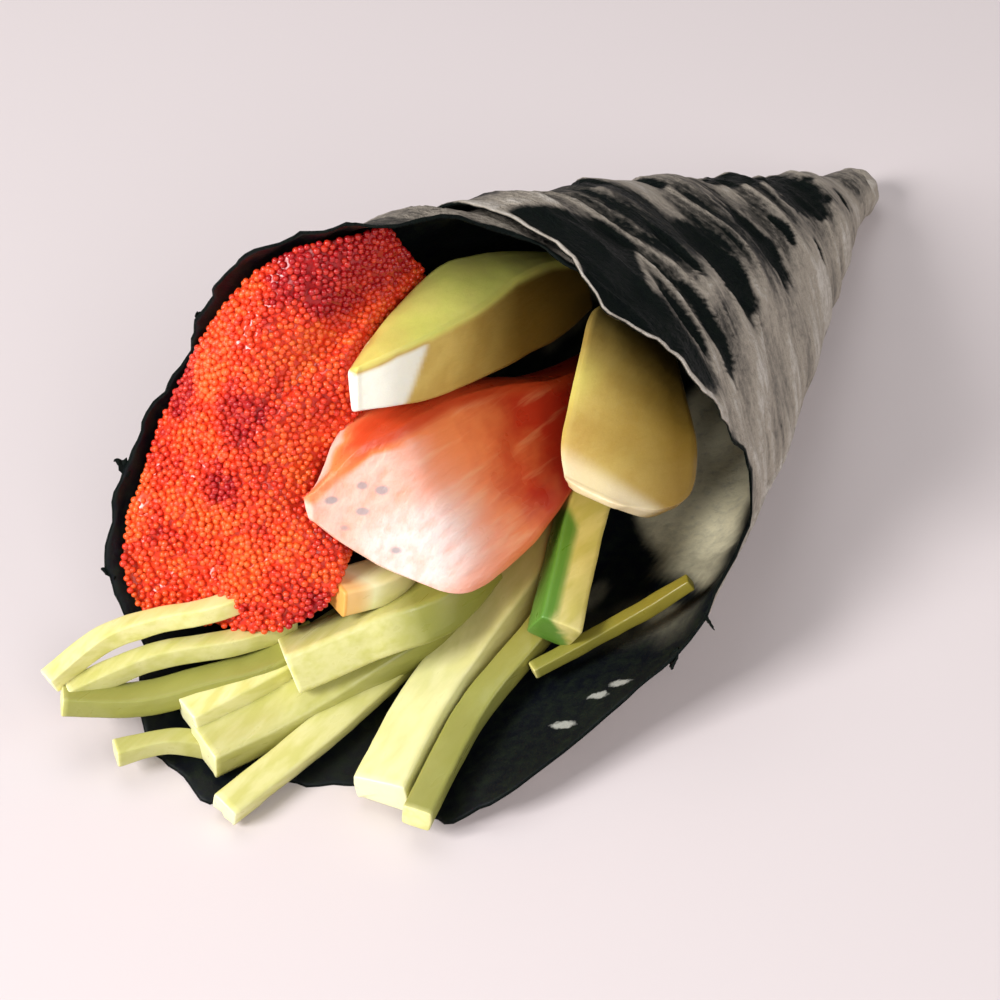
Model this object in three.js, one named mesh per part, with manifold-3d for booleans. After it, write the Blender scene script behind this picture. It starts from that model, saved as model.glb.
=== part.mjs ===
// Temaki hand roll: a cone of nori lying on its side, open at the wide end.
// It holds a heap of tobiko, a slice of salmon, two avocado slices and cucumber sticks.
// Millimetres, +Z up, table at z = 0, +X towards the closed tip, +Y across the roll.
// Inside the roll a place is given by along (from the tip towards the mouth), side (+Y) and up.
import * as THREE from 'three';
import { mergeVertices } from 'three/addons/utils/BufferGeometryUtils.js';
import Module from 'manifold-3d';

const wasm = await Module();
wasm.setup();

// Driving dimensions of the cone
const CONE_LENGTH = 106.7;
const MOUTH_RADIUS = 30;
const TIP_RADIUS = 2.4;
const TIP_X = 58;
const TIP_HEIGHT = 2.5;
const AXIS_TILT = 13.45;
const NECK_AT = 8;
const NECK_WIDTH = 3.5;
const NECK_DEPTH = 0.5;

// Places where the cone bulges: angle round the roll, spread of the bulge, height
const BULGES = [[68, 20, 2.5], [200, 27, 4.2], [298, 16, 1.8]];
const BULGE_REACH = 62;

// Driving dimensions of the nori sheet, wound clockwise from its hidden inner edge
const SHEET_THICKNESS = 0.5;
const WIND_START = 120;
const WIND_PITCH = 0.85;
const WIND_LEVEL = 250;
const COLUMN_STEP = 6.5;
const SHEET_ROWS = 17;
const FOLD_HEIGHT = 0.45;
const FOLD_PITCH = 15;
const RIM_TEAR = 0.5;
const RIM_MARGIN = 3.5;

// How far the sheet reaches from the tip, by its winding angle
const RIM = [
  [0, 78], [36, 82], [48, 95], [60, 99], [74, 103], [107, 101.4], [130, 107.8], [147, 112.3],
  [165, 112], [176, 116], [198, 118.8], [206, 112.3], [222, 107.5], [239, 108.3], [246, 106.3], [251, 102],
  [259, 94.4], [266, 90], [275, 84.3], [285, 80.5], [288, 70], [303, 69], [333, 77], [356, 82], [365, 85.5], [385, 80.5], [420, 81.5],
  [452, 80],
];

// Closed tip of the roll
const PLUG_AT = 1.4;
const PLUG_RADIUS = 3.3;
const PLUG_LENGTH = 3.6;

// Room between any two pieces, and between a piece and the nori
const PIECE_GAP = 0.3;
const WALL_GAP = 0.65;

// Tobiko heap: its front edge, its middle and its depth, as along, side, up
const HEAP_EDGE = [
  [92, 12.5, 25.3], [97, 16, 26.3], [100.5, 21, 20.5], [101, 27.5, 7], [106, 30, -5.5], [110.5, 29, -14.5],
  [111, 25, -19], [108, 17.5, -19], [106, 10.5, -17.5], [103, 6, -13], [101.5, 6, -7.5],
  [101, 10.5, -2.2], [97, 9.5, 5], [97.5, 11, 12], [90.5, 11.5, 18],
];
const HEAP_MIDDLE = [102, 18, 0];
const HEAP_DOME = 4.2;
const HEAP_RINGS = 20;
const HEAP_DEPTH = 9;
const HEAP_TAPER = 0.3;
const HEAP_STEPS = 3;
const EGG_BUMP = 0.45;
const EGG_JITTER = 0.18;
const LUMP_HEIGHT = 0.7;
const LUMP_WIDTH = 5.5;

// Blocks: each section holds its reach along the roll and its corners as side, up
const SALMON = [
  [104.4, [[8.4, 0.2], [7.4, -3.0], [8.2, -3.0], [9.2, -0.6]]],
  [102.4, [[7.4, 2.4], [4.6, -5.6], [6.4, -5.4], [9.4, 0.4]]],
  [99.6, [[5.8, 5.4], [-0.6, -8.2], [3.6, -8.0], [10.2, 3.4]]],
  [95.8, [[4.2, 6.4], [-6.4, -9.8], [2.4, -9.3], [10.6, 5.0]]],
  [88, [[3.8, 6.2], [-7.7, -8.9], [1.0, -9.2], [10.2, 5.2]]],
  [80, [[2.8, 4.8], [-7.4, -6.6], [0.4, -8.2], [8.6, 3.6]]],
  [70, [[0.8, 2.4], [-5.6, -4.4], [0, -6.6], [6, 0.4]]],
  [60, [[0.4, 1.6], [-3.8, -3.2], [0, -4.8], [4, 0]]],
];
const AVOCADO_TOP = [
  [99.6, [[9.0, 12.8], [7.8, 13.6], [7.0, 8.6], [7.8, 8.0]]],
  [96, [[9.8, 13.9], [6.0, 14.8], [5.0, 8.3], [8.4, 7.4]]],
  [90, [[11.0, 15.0], [5.1, 15.0], [4.2, 6.9], [9.0, 6.6]]],
  [82, [[11.4, 16.7], [4.9, 14.7], [3.8, 5.6], [9.6, 6.0]]],
  [74, [[11.2, 15.2], [5.9, 14.4], [3.6, 4.9], [9.2, 5.4]]],
  [66, [[9.6, 13.0], [6.6, 12.8], [3.4, 4.6], [7.6, 5.0]]],
  [60, [[8.0, 11.0], [6.2, 11.0], [3.6, 5.4], [6.4, 5.6]]],
];
const AVOCADO_SIDE = [
  [87.4, [[-10.2, 3.4], [-11.8, 2.2], [-17.0, 2.4], [-18.4, 3.4]]],
  [85.6, [[-8.3, 5.4], [-10.2, 0.9], [-19.4, 1.6], [-21.2, 3.6]]],
  [82, [[-6.4, 7.6], [-8.4, -0.6], [-18.6, 0], [-22.6, 4.4]]],
  [76, [[-3.6, 10.8], [-4.8, 1.0], [-14.6, -1.0], [-19.6, 6.2]]],
  [69, [[-0.6, 11.4], [-1.6, 2.6], [-9.6, -0.4], [-13.8, 7.0]]],
  [62, [[0.8, 9.0], [0, 3.4], [-6.4, 0.8], [-8.6, 6.0]]],
];
const BLOCK_ROUNDING = 2;
const BLOCK_CUT = 0.15;

// Sticks: width, thickness, turn about their own length in degrees, and route as along, side, up
const STICKS = {
  cucumber_stick_left: {
    size: [6.4, 4.6], turn: -20,
    route: [[105.7, 7.8, -20.6], [100, 3.2, -17.4], [94.5, -1.2, -14.4], [86.5, -1.4, -12.3]],
  },
  cucumber_stick_back: {
    size: [4.6, 3.4], turn: 0,
    route: [[101.6, 6.0, -12.6], [96, 3.6, -12.3], [88, 3.6, -12], [80, 2.4, -10.6]],
  },
  cucumber_stick_middle: {
    size: [5.2, 4.0], turn: 10,
    route: [[116, 10.2, -27.4], [108.5, 7.0, -25.6], [101.5, 4.0, -22.9], [92, -0.2, -18.2], [86.5, 0.4, -16.6]],
  },
  cucumber_stick_low: {
    size: [4.2, 3.4], turn: 0,
    route: [[114.9, 13.4, -25.2], [108.5, 10.6, -23.1], [102, 8.4, -21.4], [95, 6.4, -19.4]],
  },
  cucumber_stick_wide: {
    size: [5.6, 4.0], turn: -10,
    route: [[110.2, -8.0, -26.1], [100, -5.5, -23.4], [92, -4.6, -20.9], [83.6, -4.8, -16], [74, -3.6, -12.4]],
  },
  cucumber_thin_left: {
    size: [3.3, 2.9], turn: 15,
    route: [[120, 4.2, -29.3], [106, 2.0, -25.6], [94, 0.9, -22.4], [84, 0.6, -20]],
  },
  cucumber_thin_right: {
    size: [3.0, 2.7], turn: 0,
    route: [[111.5, -13.2, -25.4], [103, -11, -23.7], [95.6, -9.6, -21.9], [85.2, -10.2, -16.9], [76, -8.6, -13.4]],
  },
  cucumber_stick_green: {
    size: [4.7, 4.2], turn: 20,
    route: [[88.2, -13, -14.7], [81.5, -10, -11.2], [74.7, -7.2, -7.9], [66, -5.4, -5]],
  },
  cucumber_thread: {
    size: [1.7, 1.5], turn: 0,
    route: [[90, -12.4, -19.2], [84, -16.4, -15.6], [80.4, -20, -11.8], [78.4, -22.6, -8.6]],
  },
  cucumber_sliver_top: {
    size: [2.2, 2.2], turn: 0,
    route: [[121.9, 26.2, -23.5], [116.5, 24.2, -20.2], [112.4, 20.8, -18.2], [108.6, 16.6, -16.6], [104, 13.6, -15]],
  },
  cucumber_sliver_middle: {
    size: [2.4, 2.3], turn: 0,
    route: [[120.8, 24.4, -24.6], [114, 19.6, -21.4], [107.4, 13.4, -19.6], [102, 10.6, -18.6]],
  },
  cucumber_sliver_low: {
    size: [3.4, 2.4], turn: 0,
    route: [[121.9, 24.4, -24.9], [116.5, 18.6, -24.9], [111.5, 14.2, -23.2], [106.4, 10.2, -21.6], [101, 8, -19.4]],
  },
  cucumber_sliver_stub: {
    size: [2.4, 2.0], turn: 0,
    route: [[121.6, 17.2, -28.2], [117, 13.6, -27.4], [112.6, 9.2, -29]],
  },
};
const STICK_STATIONS = 7;
const STICK_ROUNDING = 1;
const STICK_CUT = 0.22;

const tilt = THREE.MathUtils.degToRad(AXIS_TILT);
const spread = (MOUTH_RADIUS - TIP_RADIUS) / CONE_LENGTH;

// Places and limits inside the roll

// The group's own axes: x towards the tip, y sideways, z up
function place(along, side, up) {
  return new THREE.Vector3(-along, side, up);
}

function floorUp(along) {
  return -(TIP_HEIGHT + along * Math.sin(tilt)) / Math.cos(tilt);
}

function coneRadius(along) {
  const neck = NECK_DEPTH * Math.exp(-(((along - NECK_AT) / NECK_WIDTH) ** 2));
  return TIP_RADIUS + along * spread - neck;
}

// Swelling of the cone where the sheet stands off the round
function bulge(along, angle) {
  const ease = THREE.MathUtils.smoothstep(along, 0, BULGE_REACH);
  const degrees = THREE.MathUtils.euclideanModulo(THREE.MathUtils.radToDeg(angle), 360);
  let height = 0;
  for (const [at, width, top] of BULGES) {
    height += top * Math.exp(-(((degrees - at) / width) ** 2));
  }
  return ease * height;
}

function windOffset(wind) {
  return (WIND_PITCH * (wind - WIND_LEVEL)) / 360;
}

// Crinkles of the sheet, strongest on the top of the roll
function fold(along, angle) {
  const strength = 0.35 + 0.65 * Math.max(0, Math.sin(angle));
  const ease = Math.min(1, along / 25);
  const wave = Math.sin((2 * Math.PI * along) / FOLD_PITCH + 1.6 * Math.sin(2 * angle) + angle);
  return FOLD_HEIGHT * strength * ease * wave;
}

function rimReach(wind) {
  for (let i = 1; i < RIM.length; i += 1) {
    const [from, low] = RIM[i - 1];
    const [to, high] = RIM[i];
    if (wind <= to) return THREE.MathUtils.mapLinear(wind, from, to, low, high);
  }
  return RIM[RIM.length - 1][1];
}

// Lowest winding angle of the sheet at an angle round the roll
function innerWind(angle) {
  const wind = WIND_START - THREE.MathUtils.radToDeg(angle);
  return THREE.MathUtils.euclideanModulo(wind, 360);
}

// Moves a point of a filling inside the sheet and above the table
function keepInside(point) {
  const along = -point.x;
  const angle = Math.atan2(point.z, point.y);
  const wind = innerWind(angle);
  const covered = along < rimReach(wind) + RIM_MARGIN;
  if (covered) {
    const wall = coneRadius(along) + bulge(along, angle) + windOffset(wind) + fold(along, angle);
    const limit = wall - SHEET_THICKNESS / 2 - WALL_GAP;
    const reach = Math.hypot(point.y, point.z);
    const scale = Math.min(1, limit / reach);
    point.y *= scale;
    point.z *= scale;
  }
  const skin = covered ? SHEET_THICKNESS : 0;
  point.z = Math.max(point.z, floorUp(along) + skin + WALL_GAP);
  return point;
}

// Meshes and solids

function geometryOf(points, faces) {
  const geometry = new THREE.BufferGeometry();
  const positions = points.flatMap((p) => [p.x, p.y, p.z]);
  geometry.setAttribute('position', new THREE.Float32BufferAttribute(positions, 3));
  geometry.setIndex(faces.flat());
  return geometry;
}

function volumeOf(points, faces) {
  const cross = new THREE.Vector3();
  let total = 0;
  for (const [a, b, c] of faces) {
    total += points[a].dot(cross.crossVectors(points[b], points[c]));
  }
  return total / 6;
}

// Closed geometry with its faces turned outwards
function closed(points, faces) {
  const turned = volumeOf(points, faces) < 0 ? faces.map(([a, b, c]) => [a, c, b]) : faces;
  return geometryOf(points, turned);
}

function toSolid(geometry) {
  const plain = geometry.clone();
  plain.deleteAttribute('normal');
  plain.deleteAttribute('uv');
  const merged = mergeVertices(plain, 1e-5);
  const vertProperties = new Float32Array(merged.attributes.position.array);
  const triVerts = new Uint32Array(merged.index.array);
  return new wasm.Manifold(new wasm.Mesh({ numProp: 3, vertProperties, triVerts }));
}

function toGeometry(solid) {
  const mesh = solid.getMesh();
  const geometry = new THREE.BufferGeometry();
  geometry.setAttribute('position', new THREE.BufferAttribute(new Float32Array(mesh.vertProperties), 3));
  geometry.setIndex(new THREE.BufferAttribute(new Uint32Array(mesh.triVerts), 1));
  return geometry;
}

function largest(solid) {
  const bodies = solid.decompose();
  return bodies.reduce((best, body) => (body.volume() > best.volume() ? body : best));
}

// Skin through a row of rings, with a fan of faces on each end
function loft(rings) {
  const count = rings[0].length;
  const points = rings.flat();
  const faces = [];
  for (let i = 0; i + 1 < rings.length; i += 1) {
    for (let k = 0; k < count; k += 1) {
      const a = i * count + k;
      const b = i * count + ((k + 1) % count);
      faces.push([a, b, b + count], [a, b + count, a + count]);
    }
  }
  for (const [ring, turn] of [[0, 1], [rings.length - 1, -1]]) {
    const middle = new THREE.Vector3();
    rings[ring].forEach((p) => middle.addScaledVector(p, 1 / count));
    const hub = points.push(middle) - 1;
    for (let k = 0; k < count; k += 1) {
      const a = ring * count + k;
      const b = ring * count + ((k + 1) % count);
      faces.push(turn > 0 ? [hub, b, a] : [hub, a, b]);
    }
  }
  return closed(points, faces);
}

// Cuts the corners of a closed ring of points
function roundRing(ring, times, cut) {
  let current = ring;
  for (let pass = 0; pass < times; pass += 1) {
    current = current.flatMap((p, k) => {
      const next = current[(k + 1) % current.length];
      return [p.clone().lerp(next, cut), p.clone().lerp(next, 1 - cut)];
    });
  }
  return current;
}

// Moves a ring's points away from its middle
function growRing(ring, grow) {
  const middle = new THREE.Vector3();
  ring.forEach((p) => middle.addScaledVector(p, 1 / ring.length));
  return ring.map((p) => p.clone().addScaledVector(p.clone().sub(middle).normalize(), grow));
}

// Adds the clearance to the two ends of a row of rings
function stretchEnds(rings, grow) {
  const last = rings.length - 1;
  const out = rings.map((ring) => ring.map((p) => p.clone()));
  for (const [end, inner] of [[0, 1], [last, last - 1]]) {
    const step = rings[end][0].clone().sub(rings[inner][0]).normalize();
    out[end].forEach((p) => p.addScaledVector(step, grow));
  }
  return out;
}

// Blocks and sticks

function blockRings(sections) {
  return sections.map(([along, corners]) => {
    const ring = corners.map(([side, up]) => place(along, side, up));
    return roundRing(ring, BLOCK_ROUNDING, BLOCK_CUT).map(keepInside);
  });
}

function stickRings({ size, turn, route }) {
  const [width, thickness] = size;
  const curve = new THREE.CatmullRomCurve3(route.map(([along, side, up]) => place(along, side, up)));
  const rings = [];
  for (let i = 0; i < STICK_STATIONS; i += 1) {
    const at = i / (STICK_STATIONS - 1);
    const centre = curve.getPoint(at);
    const tangent = curve.getTangent(at);
    const across = new THREE.Vector3(0, 0, 1).cross(tangent).normalize();
    across.applyAxisAngle(tangent, THREE.MathUtils.degToRad(turn));
    const rise = tangent.clone().cross(across);
    const corners = [[1, 1], [-1, 1], [-1, -1], [1, -1]].map(([x, y]) => centre.clone()
      .addScaledVector(across, (x * width) / 2)
      .addScaledVector(rise, (y * thickness) / 2));
    rings.push(roundRing(corners, STICK_ROUNDING, STICK_CUT).map(keepInside));
  }
  return rings;
}

function grown(rings, grow) {
  return loft(stretchEnds(rings.map((ring) => growRing(ring, grow)), grow));
}

// Tobiko heap

function seededRandom(seed) {
  let state = seed;
  return () => {
    state = (state * 16807) % 2147483647;
    return state / 2147483647;
  };
}

// First point of a ring of the lattice, which has six times its number of points
function ringStart(ring) {
  return ring === 0 ? 0 : 1 + 3 * ring * (ring - 1);
}

function latticePoint(ring, sector, step) {
  const around = Math.max(1, 6 * ring);
  return ringStart(ring) + ((sector * ring + step) % around);
}

function latticeFaces(rings) {
  const faces = [];
  for (let ring = 0; ring < rings; ring += 1) {
    for (let sector = 0; sector < 6; sector += 1) {
      for (let step = 0; step <= ring; step += 1) {
        const inner = latticePoint(ring, sector, step);
        const outer = latticePoint(ring + 1, sector, step);
        const outerNext = latticePoint(ring + 1, sector, step + 1);
        faces.push([inner, outer, outerNext]);
        if (step < ring) faces.push([inner, outerNext, latticePoint(ring, sector, step + 1)]);
      }
    }
  }
  return faces;
}

function heapFront(random) {
  const edge = new THREE.CatmullRomCurve3(HEAP_EDGE.map((p) => place(...p)), true);
  const middle = place(...HEAP_MIDDLE);
  const points = [];
  for (let ring = 0; ring <= HEAP_RINGS; ring += 1) {
    const out = ring / HEAP_RINGS;
    const around = Math.max(1, 6 * ring);
    for (let step = 0; step < around; step += 1) {
      const point = middle.clone().lerp(edge.getPoint(step / around), out);
      const lump = Math.sin(point.y / LUMP_WIDTH * 2 + 1) * Math.sin(point.z / LUMP_WIDTH * 2);
      point.x -= HEAP_DOME * (1 - out * out) + LUMP_HEIGHT * lump + EGG_BUMP * (2 * random() - 1);
      point.y += EGG_JITTER * (2 * random() - 1);
      point.z += EGG_JITTER * (2 * random() - 1);
      points.push(keepInside(point));
    }
  }
  return points;
}

function heapGeometry() {
  const points = heapFront(seededRandom(11));
  const faces = latticeFaces(HEAP_RINGS);
  const around = 6 * HEAP_RINGS;
  const first = ringStart(HEAP_RINGS);
  const edge = points.slice(first, first + around);
  for (let layer = 1; layer <= HEAP_STEPS; layer += 1) {
    for (const p of edge) {
      const along = -p.x - (HEAP_DEPTH * layer) / HEAP_STEPS;
      const scale = coneRadius(along) / coneRadius(-p.x);
      const target = place(along, p.y * scale, p.z * scale);
      const middle = place(along, HEAP_MIDDLE[1] * scale, HEAP_MIDDLE[2] * scale);
      points.push(keepInside(target.lerp(middle, (HEAP_TAPER * layer) / HEAP_STEPS)));
    }
    const base = first + around * layer;
    for (let k = 0; k < around; k += 1) {
      const a = base - around + k;
      const b = base - around + ((k + 1) % around);
      faces.push([a, a + around, b + around], [a, b + around, b]);
    }
  }
  const last = points.slice(-around);
  const middle = new THREE.Vector3();
  last.forEach((p) => middle.addScaledVector(p, 1 / around));
  const hub = points.push(middle) - 1;
  for (let k = 0; k < around; k += 1) {
    faces.push([hub - around + k, hub, hub - around + ((k + 1) % around)]);
  }
  return closed(points, faces);
}

// Nori sheet

function windColumns() {
  const winds = [RIM[0][0]];
  for (let i = 1; i < RIM.length; i += 1) {
    const from = RIM[i - 1][0];
    const to = RIM[i][0];
    const parts = Math.ceil((to - from) / COLUMN_STEP);
    for (let k = 1; k <= parts; k += 1) {
      winds.push(from + ((to - from) * k) / parts);
    }
  }
  return winds;
}

// A point of the sheet: outward is 1 on its outer face and -1 on its inner face
function sheetPoint(wind, along, outward) {
  const angle = THREE.MathUtils.degToRad(WIND_START - wind);
  const middle = coneRadius(along) + bulge(along, angle) + windOffset(wind) + fold(along, angle);
  const radius = middle + (outward * SHEET_THICKNESS) / 2;
  const lowest = floorUp(along) + (outward > 0 ? 0 : SHEET_THICKNESS);
  return place(along, radius * Math.cos(angle), Math.max(radius * Math.sin(angle), lowest));
}

function sheetGeometry() {
  const random = seededRandom(5);
  const winds = windColumns();
  const perColumn = SHEET_ROWS + 1;
  const points = [];
  const rims = winds.map((wind) => rimReach(wind) + RIM_TEAR * (2 * random() - 1));
  for (const outward of [1, -1]) {
    winds.forEach((wind, column) => {
      for (let row = 0; row <= SHEET_ROWS; row += 1) {
        points.push(sheetPoint(wind, (rims[column] * row) / SHEET_ROWS, outward));
      }
    });
  }
  const inside = winds.length * perColumn;
  const faces = [];
  const addQuad = (a, b, c, d) => faces.push([a, b, c], [a, c, d]);
  for (let column = 0; column + 1 < winds.length; column += 1) {
    for (let row = 0; row < SHEET_ROWS; row += 1) {
      const a = column * perColumn + row;
      const b = a + perColumn;
      faces.push([a, b, b + 1], [a, b + 1, a + 1]);
      faces.push([inside + a, inside + b + 1, inside + b], [inside + a, inside + a + 1, inside + b + 1]);
    }
    const low = column * perColumn;
    const high = low + SHEET_ROWS;
    addQuad(low + perColumn, low, inside + low, inside + low + perColumn);
    addQuad(high, high + perColumn, inside + high + perColumn, inside + high);
  }
  for (let row = 0; row < SHEET_ROWS; row += 1) {
    const end = (winds.length - 1) * perColumn + row;
    addQuad(row, row + 1, inside + row + 1, inside + row);
    addQuad(end + 1, end, inside + end, inside + end + 1);
  }
  return closed(points, faces);
}

function plugGeometry() {
  const plug = new THREE.SphereGeometry(PLUG_RADIUS, 14, 10);
  plug.scale(PLUG_LENGTH / PLUG_RADIUS, 1, 1);
  plug.translate(-PLUG_AT, 0, 0);
  const position = plug.attributes.position;
  for (let i = 0; i < position.count; i += 1) {
    const floor = floorUp(-position.getX(i));
    position.setZ(i, Math.max(position.getZ(i), floor));
  }
  return plug;
}

// Materials

function material(color, roughness) {
  return new THREE.MeshStandardMaterial({ color, roughness, metalness: 0 });
}

const noriMaterial = material(0x1c2320, 0.45);
const tobikoMaterial = material(0xe8502b, 0.35);
const salmonMaterial = material(0xee7a4c, 0.4);
const avocadoMaterial = material(0xd2cc63, 0.45);
const cucumberMaterial = material(0xdfe28e, 0.4);
const skinMaterial = material(0x5f9a3a, 0.4);

// Assembly: each piece is cut back from the ones already placed beside it

const roll = new THREE.Group();
roll.position.set(TIP_X, 0, TIP_HEIGHT);
roll.rotation.y = tilt;

const placed = [];

function addPiece(name, geometry, finish) {
  const mesh = new THREE.Mesh(geometry, finish);
  mesh.name = name;
  roll.add(mesh);
}

function clearOfOthers(solid) {
  let result = solid;
  for (const other of placed) {
    if (solid.intersect(other).volume() > 0) result = result.subtract(other);
  }
  return largest(result);
}

function addFilling(name, rings, finish) {
  const solid = clearOfOthers(toSolid(loft(rings)));
  placed.push(toSolid(grown(rings, PIECE_GAP)));
  addPiece(name, toGeometry(solid), finish);
}

addFilling('salmon_slice', blockRings(SALMON), salmonMaterial);
addFilling('avocado_slice_top', blockRings(AVOCADO_TOP), avocadoMaterial);
addFilling('avocado_slice_side', blockRings(AVOCADO_SIDE), avocadoMaterial);
for (const [name, stick] of Object.entries(STICKS)) {
  const finish = name === 'cucumber_stick_green' ? skinMaterial : cucumberMaterial;
  addFilling(name, stickRings(stick), finish);
}
addPiece('tobiko_heap', toGeometry(clearOfOthers(toSolid(heapGeometry()))), tobikoMaterial);
const nori = toSolid(sheetGeometry()).add(toSolid(plugGeometry()));
addPiece('nori_wrap', toGeometry(nori), noriMaterial);

const temaki = new THREE.Group();
temaki.add(roll);

export default temaki;
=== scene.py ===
"""Temaki hand roll lying on a pale table: crinkled nori round tobiko, salmon, avocado and cucumber."""
import itertools
import math

import bmesh
import bpy
import numpy as np
from bpy.props import FloatProperty, FloatVectorProperty, IntProperty, PointerProperty
from mathutils import Matrix, Vector


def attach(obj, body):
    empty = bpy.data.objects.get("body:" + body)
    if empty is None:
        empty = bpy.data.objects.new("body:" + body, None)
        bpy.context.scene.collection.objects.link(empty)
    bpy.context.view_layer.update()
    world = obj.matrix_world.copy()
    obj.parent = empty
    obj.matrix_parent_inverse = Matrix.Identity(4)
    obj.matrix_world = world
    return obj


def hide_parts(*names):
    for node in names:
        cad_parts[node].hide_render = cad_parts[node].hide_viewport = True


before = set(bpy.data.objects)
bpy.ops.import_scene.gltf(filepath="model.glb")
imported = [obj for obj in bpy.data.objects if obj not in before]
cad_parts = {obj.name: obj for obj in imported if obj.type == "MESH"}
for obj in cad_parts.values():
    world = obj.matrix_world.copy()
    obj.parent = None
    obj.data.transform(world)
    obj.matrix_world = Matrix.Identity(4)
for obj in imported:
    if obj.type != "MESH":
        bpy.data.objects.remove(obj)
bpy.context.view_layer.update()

bl_info = {
    "name": "Temaki Hand Roll",
    "version": (1, 0, 0),
    "blender": (4, 5, 0),
    "location": "View3D > Sidebar > Temaki",
    "description": "Builds a sushi hand roll with its filling on a pale table",
    "category": "Add Mesh",
}

# Millimetres, and degrees round the roll. A place inside the roll is along from the tip towards the
# mouth, side towards +Y, and up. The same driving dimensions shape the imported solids.
MM = 0.001
CONE_LENGTH = 106.7
MOUTH_RADIUS = 30.0
TIP_RADIUS = 2.4
TIP_X = 58.0
TIP_HEIGHT = 2.5
AXIS_TILT = math.radians(13.45)
NECK_AT, NECK_WIDTH, NECK_DEPTH = 8.0, 3.5, 0.5
# Swellings of the wall: degrees round the roll, width in degrees, height
BULGES = ((68.0, 20.0, 2.5), (200.0, 27.0, 4.2), (298.0, 16.0, 1.8))
BULGE_REACH = 62.0
SPREAD = (MOUTH_RADIUS - TIP_RADIUS) / CONE_LENGTH

WIND_START, WIND_PITCH, WIND_LEVEL = 120.0, 0.85, 250.0
CAD_THICKNESS = 0.5
FOLD_HEIGHT, FOLD_PITCH = 0.45, 15.0
RIM_MARGIN = 3.5
# Rim of the sheet: degrees wound from its first edge, distance from the tip
RIM = (
    (0, 78), (36, 82), (48, 95), (60, 99), (74, 103), (107, 101.4), (130, 107.8), (147, 112.3),
    (165, 112), (176, 116), (198, 118.8), (206, 112.3), (222, 107.5), (239, 108.3), (246, 106.3),
    (251, 102), (259, 94.4), (266, 90), (275, 84.3), (285, 80.5), (288, 70), (303, 69), (333, 77),
    (356, 82), (365, 85.5), (385, 80.5), (420, 81.5), (452, 80),
)
PLUG_AT, PLUG_RADIUS, PLUG_LENGTH = 1.4, 3.3, 3.6
WALL_GAP = 0.65

# Edge of the tobiko's front, as along, side, up
HEAP_EDGE = (
    (92, 12.5, 25.3), (97, 16, 26.3), (100.5, 21, 20.5), (101, 27.5, 7), (106, 30, -5.5),
    (110.5, 29, -14.5), (111, 25, -19), (108, 17.5, -19), (106, 10.5, -17.5), (103, 6, -13),
    (101.5, 6, -7.5), (101, 10.5, -2.2), (97, 9.5, 5), (97.5, 11, 12), (90.5, 11.5, 18),
)
HEAP_MIDDLE = (102.0, 18.0, 0.0)
HEAP_DOME, HEAP_DEPTH, HEAP_TAPER = 4.2, 9.0, 0.3
LUMP_HEIGHT, LUMP_WIDTH = 0.7, 5.5

# Sections of each block: along, then four corners as side, up
SALMON = (
    (104.4, ((8.4, 0.2), (7.4, -3.0), (8.2, -3.0), (9.2, -0.6))),
    (102.4, ((7.4, 2.4), (4.6, -5.6), (6.4, -5.4), (9.4, 0.4))),
    (99.6, ((5.8, 5.4), (-0.6, -8.2), (3.6, -8.0), (10.2, 3.4))),
    (95.8, ((4.2, 6.4), (-6.4, -9.8), (2.4, -9.3), (10.6, 5.0))),
    (88, ((3.8, 6.2), (-7.7, -8.9), (1.0, -9.2), (10.2, 5.2))),
    (80, ((2.8, 4.8), (-7.4, -6.6), (0.4, -8.2), (8.6, 3.6))),
    (70, ((0.8, 2.4), (-5.6, -4.4), (0, -6.6), (6, 0.4))),
    (60, ((0.4, 1.6), (-3.8, -3.2), (0, -4.8), (4, 0))),
)
AVOCADO_TOP = (
    (99.6, ((9.0, 12.8), (7.8, 13.6), (7.0, 8.6), (7.8, 8.0))),
    (96, ((9.8, 13.9), (6.0, 14.8), (5.0, 8.3), (8.4, 7.4))),
    (90, ((11.0, 15.0), (5.1, 15.0), (4.2, 6.9), (9.0, 6.6))),
    (82, ((11.4, 16.7), (4.9, 14.7), (3.8, 5.6), (9.6, 6.0))),
    (74, ((11.2, 15.2), (5.9, 14.4), (3.6, 4.9), (9.2, 5.4))),
    (66, ((9.6, 13.0), (6.6, 12.8), (3.4, 4.6), (7.6, 5.0))),
    (60, ((8.0, 11.0), (6.2, 11.0), (3.6, 5.4), (6.4, 5.6))),
)
AVOCADO_SIDE = (
    (87.4, ((-10.2, 3.4), (-11.8, 2.2), (-17.0, 2.4), (-18.4, 3.4))),
    (85.6, ((-8.3, 5.4), (-10.2, 0.9), (-19.4, 1.6), (-21.2, 3.6))),
    (82, ((-6.4, 7.6), (-8.4, -0.6), (-18.6, 0), (-22.6, 4.4))),
    (76, ((-3.6, 10.8), (-4.8, 1.0), (-14.6, -1.0), (-19.6, 6.2))),
    (69, ((-0.6, 11.4), (-1.6, 2.6), (-9.6, -0.4), (-13.8, 7.0))),
    (62, ((0.8, 9.0), (0, 3.4), (-6.4, 0.8), (-8.6, 6.0))),
)

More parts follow.
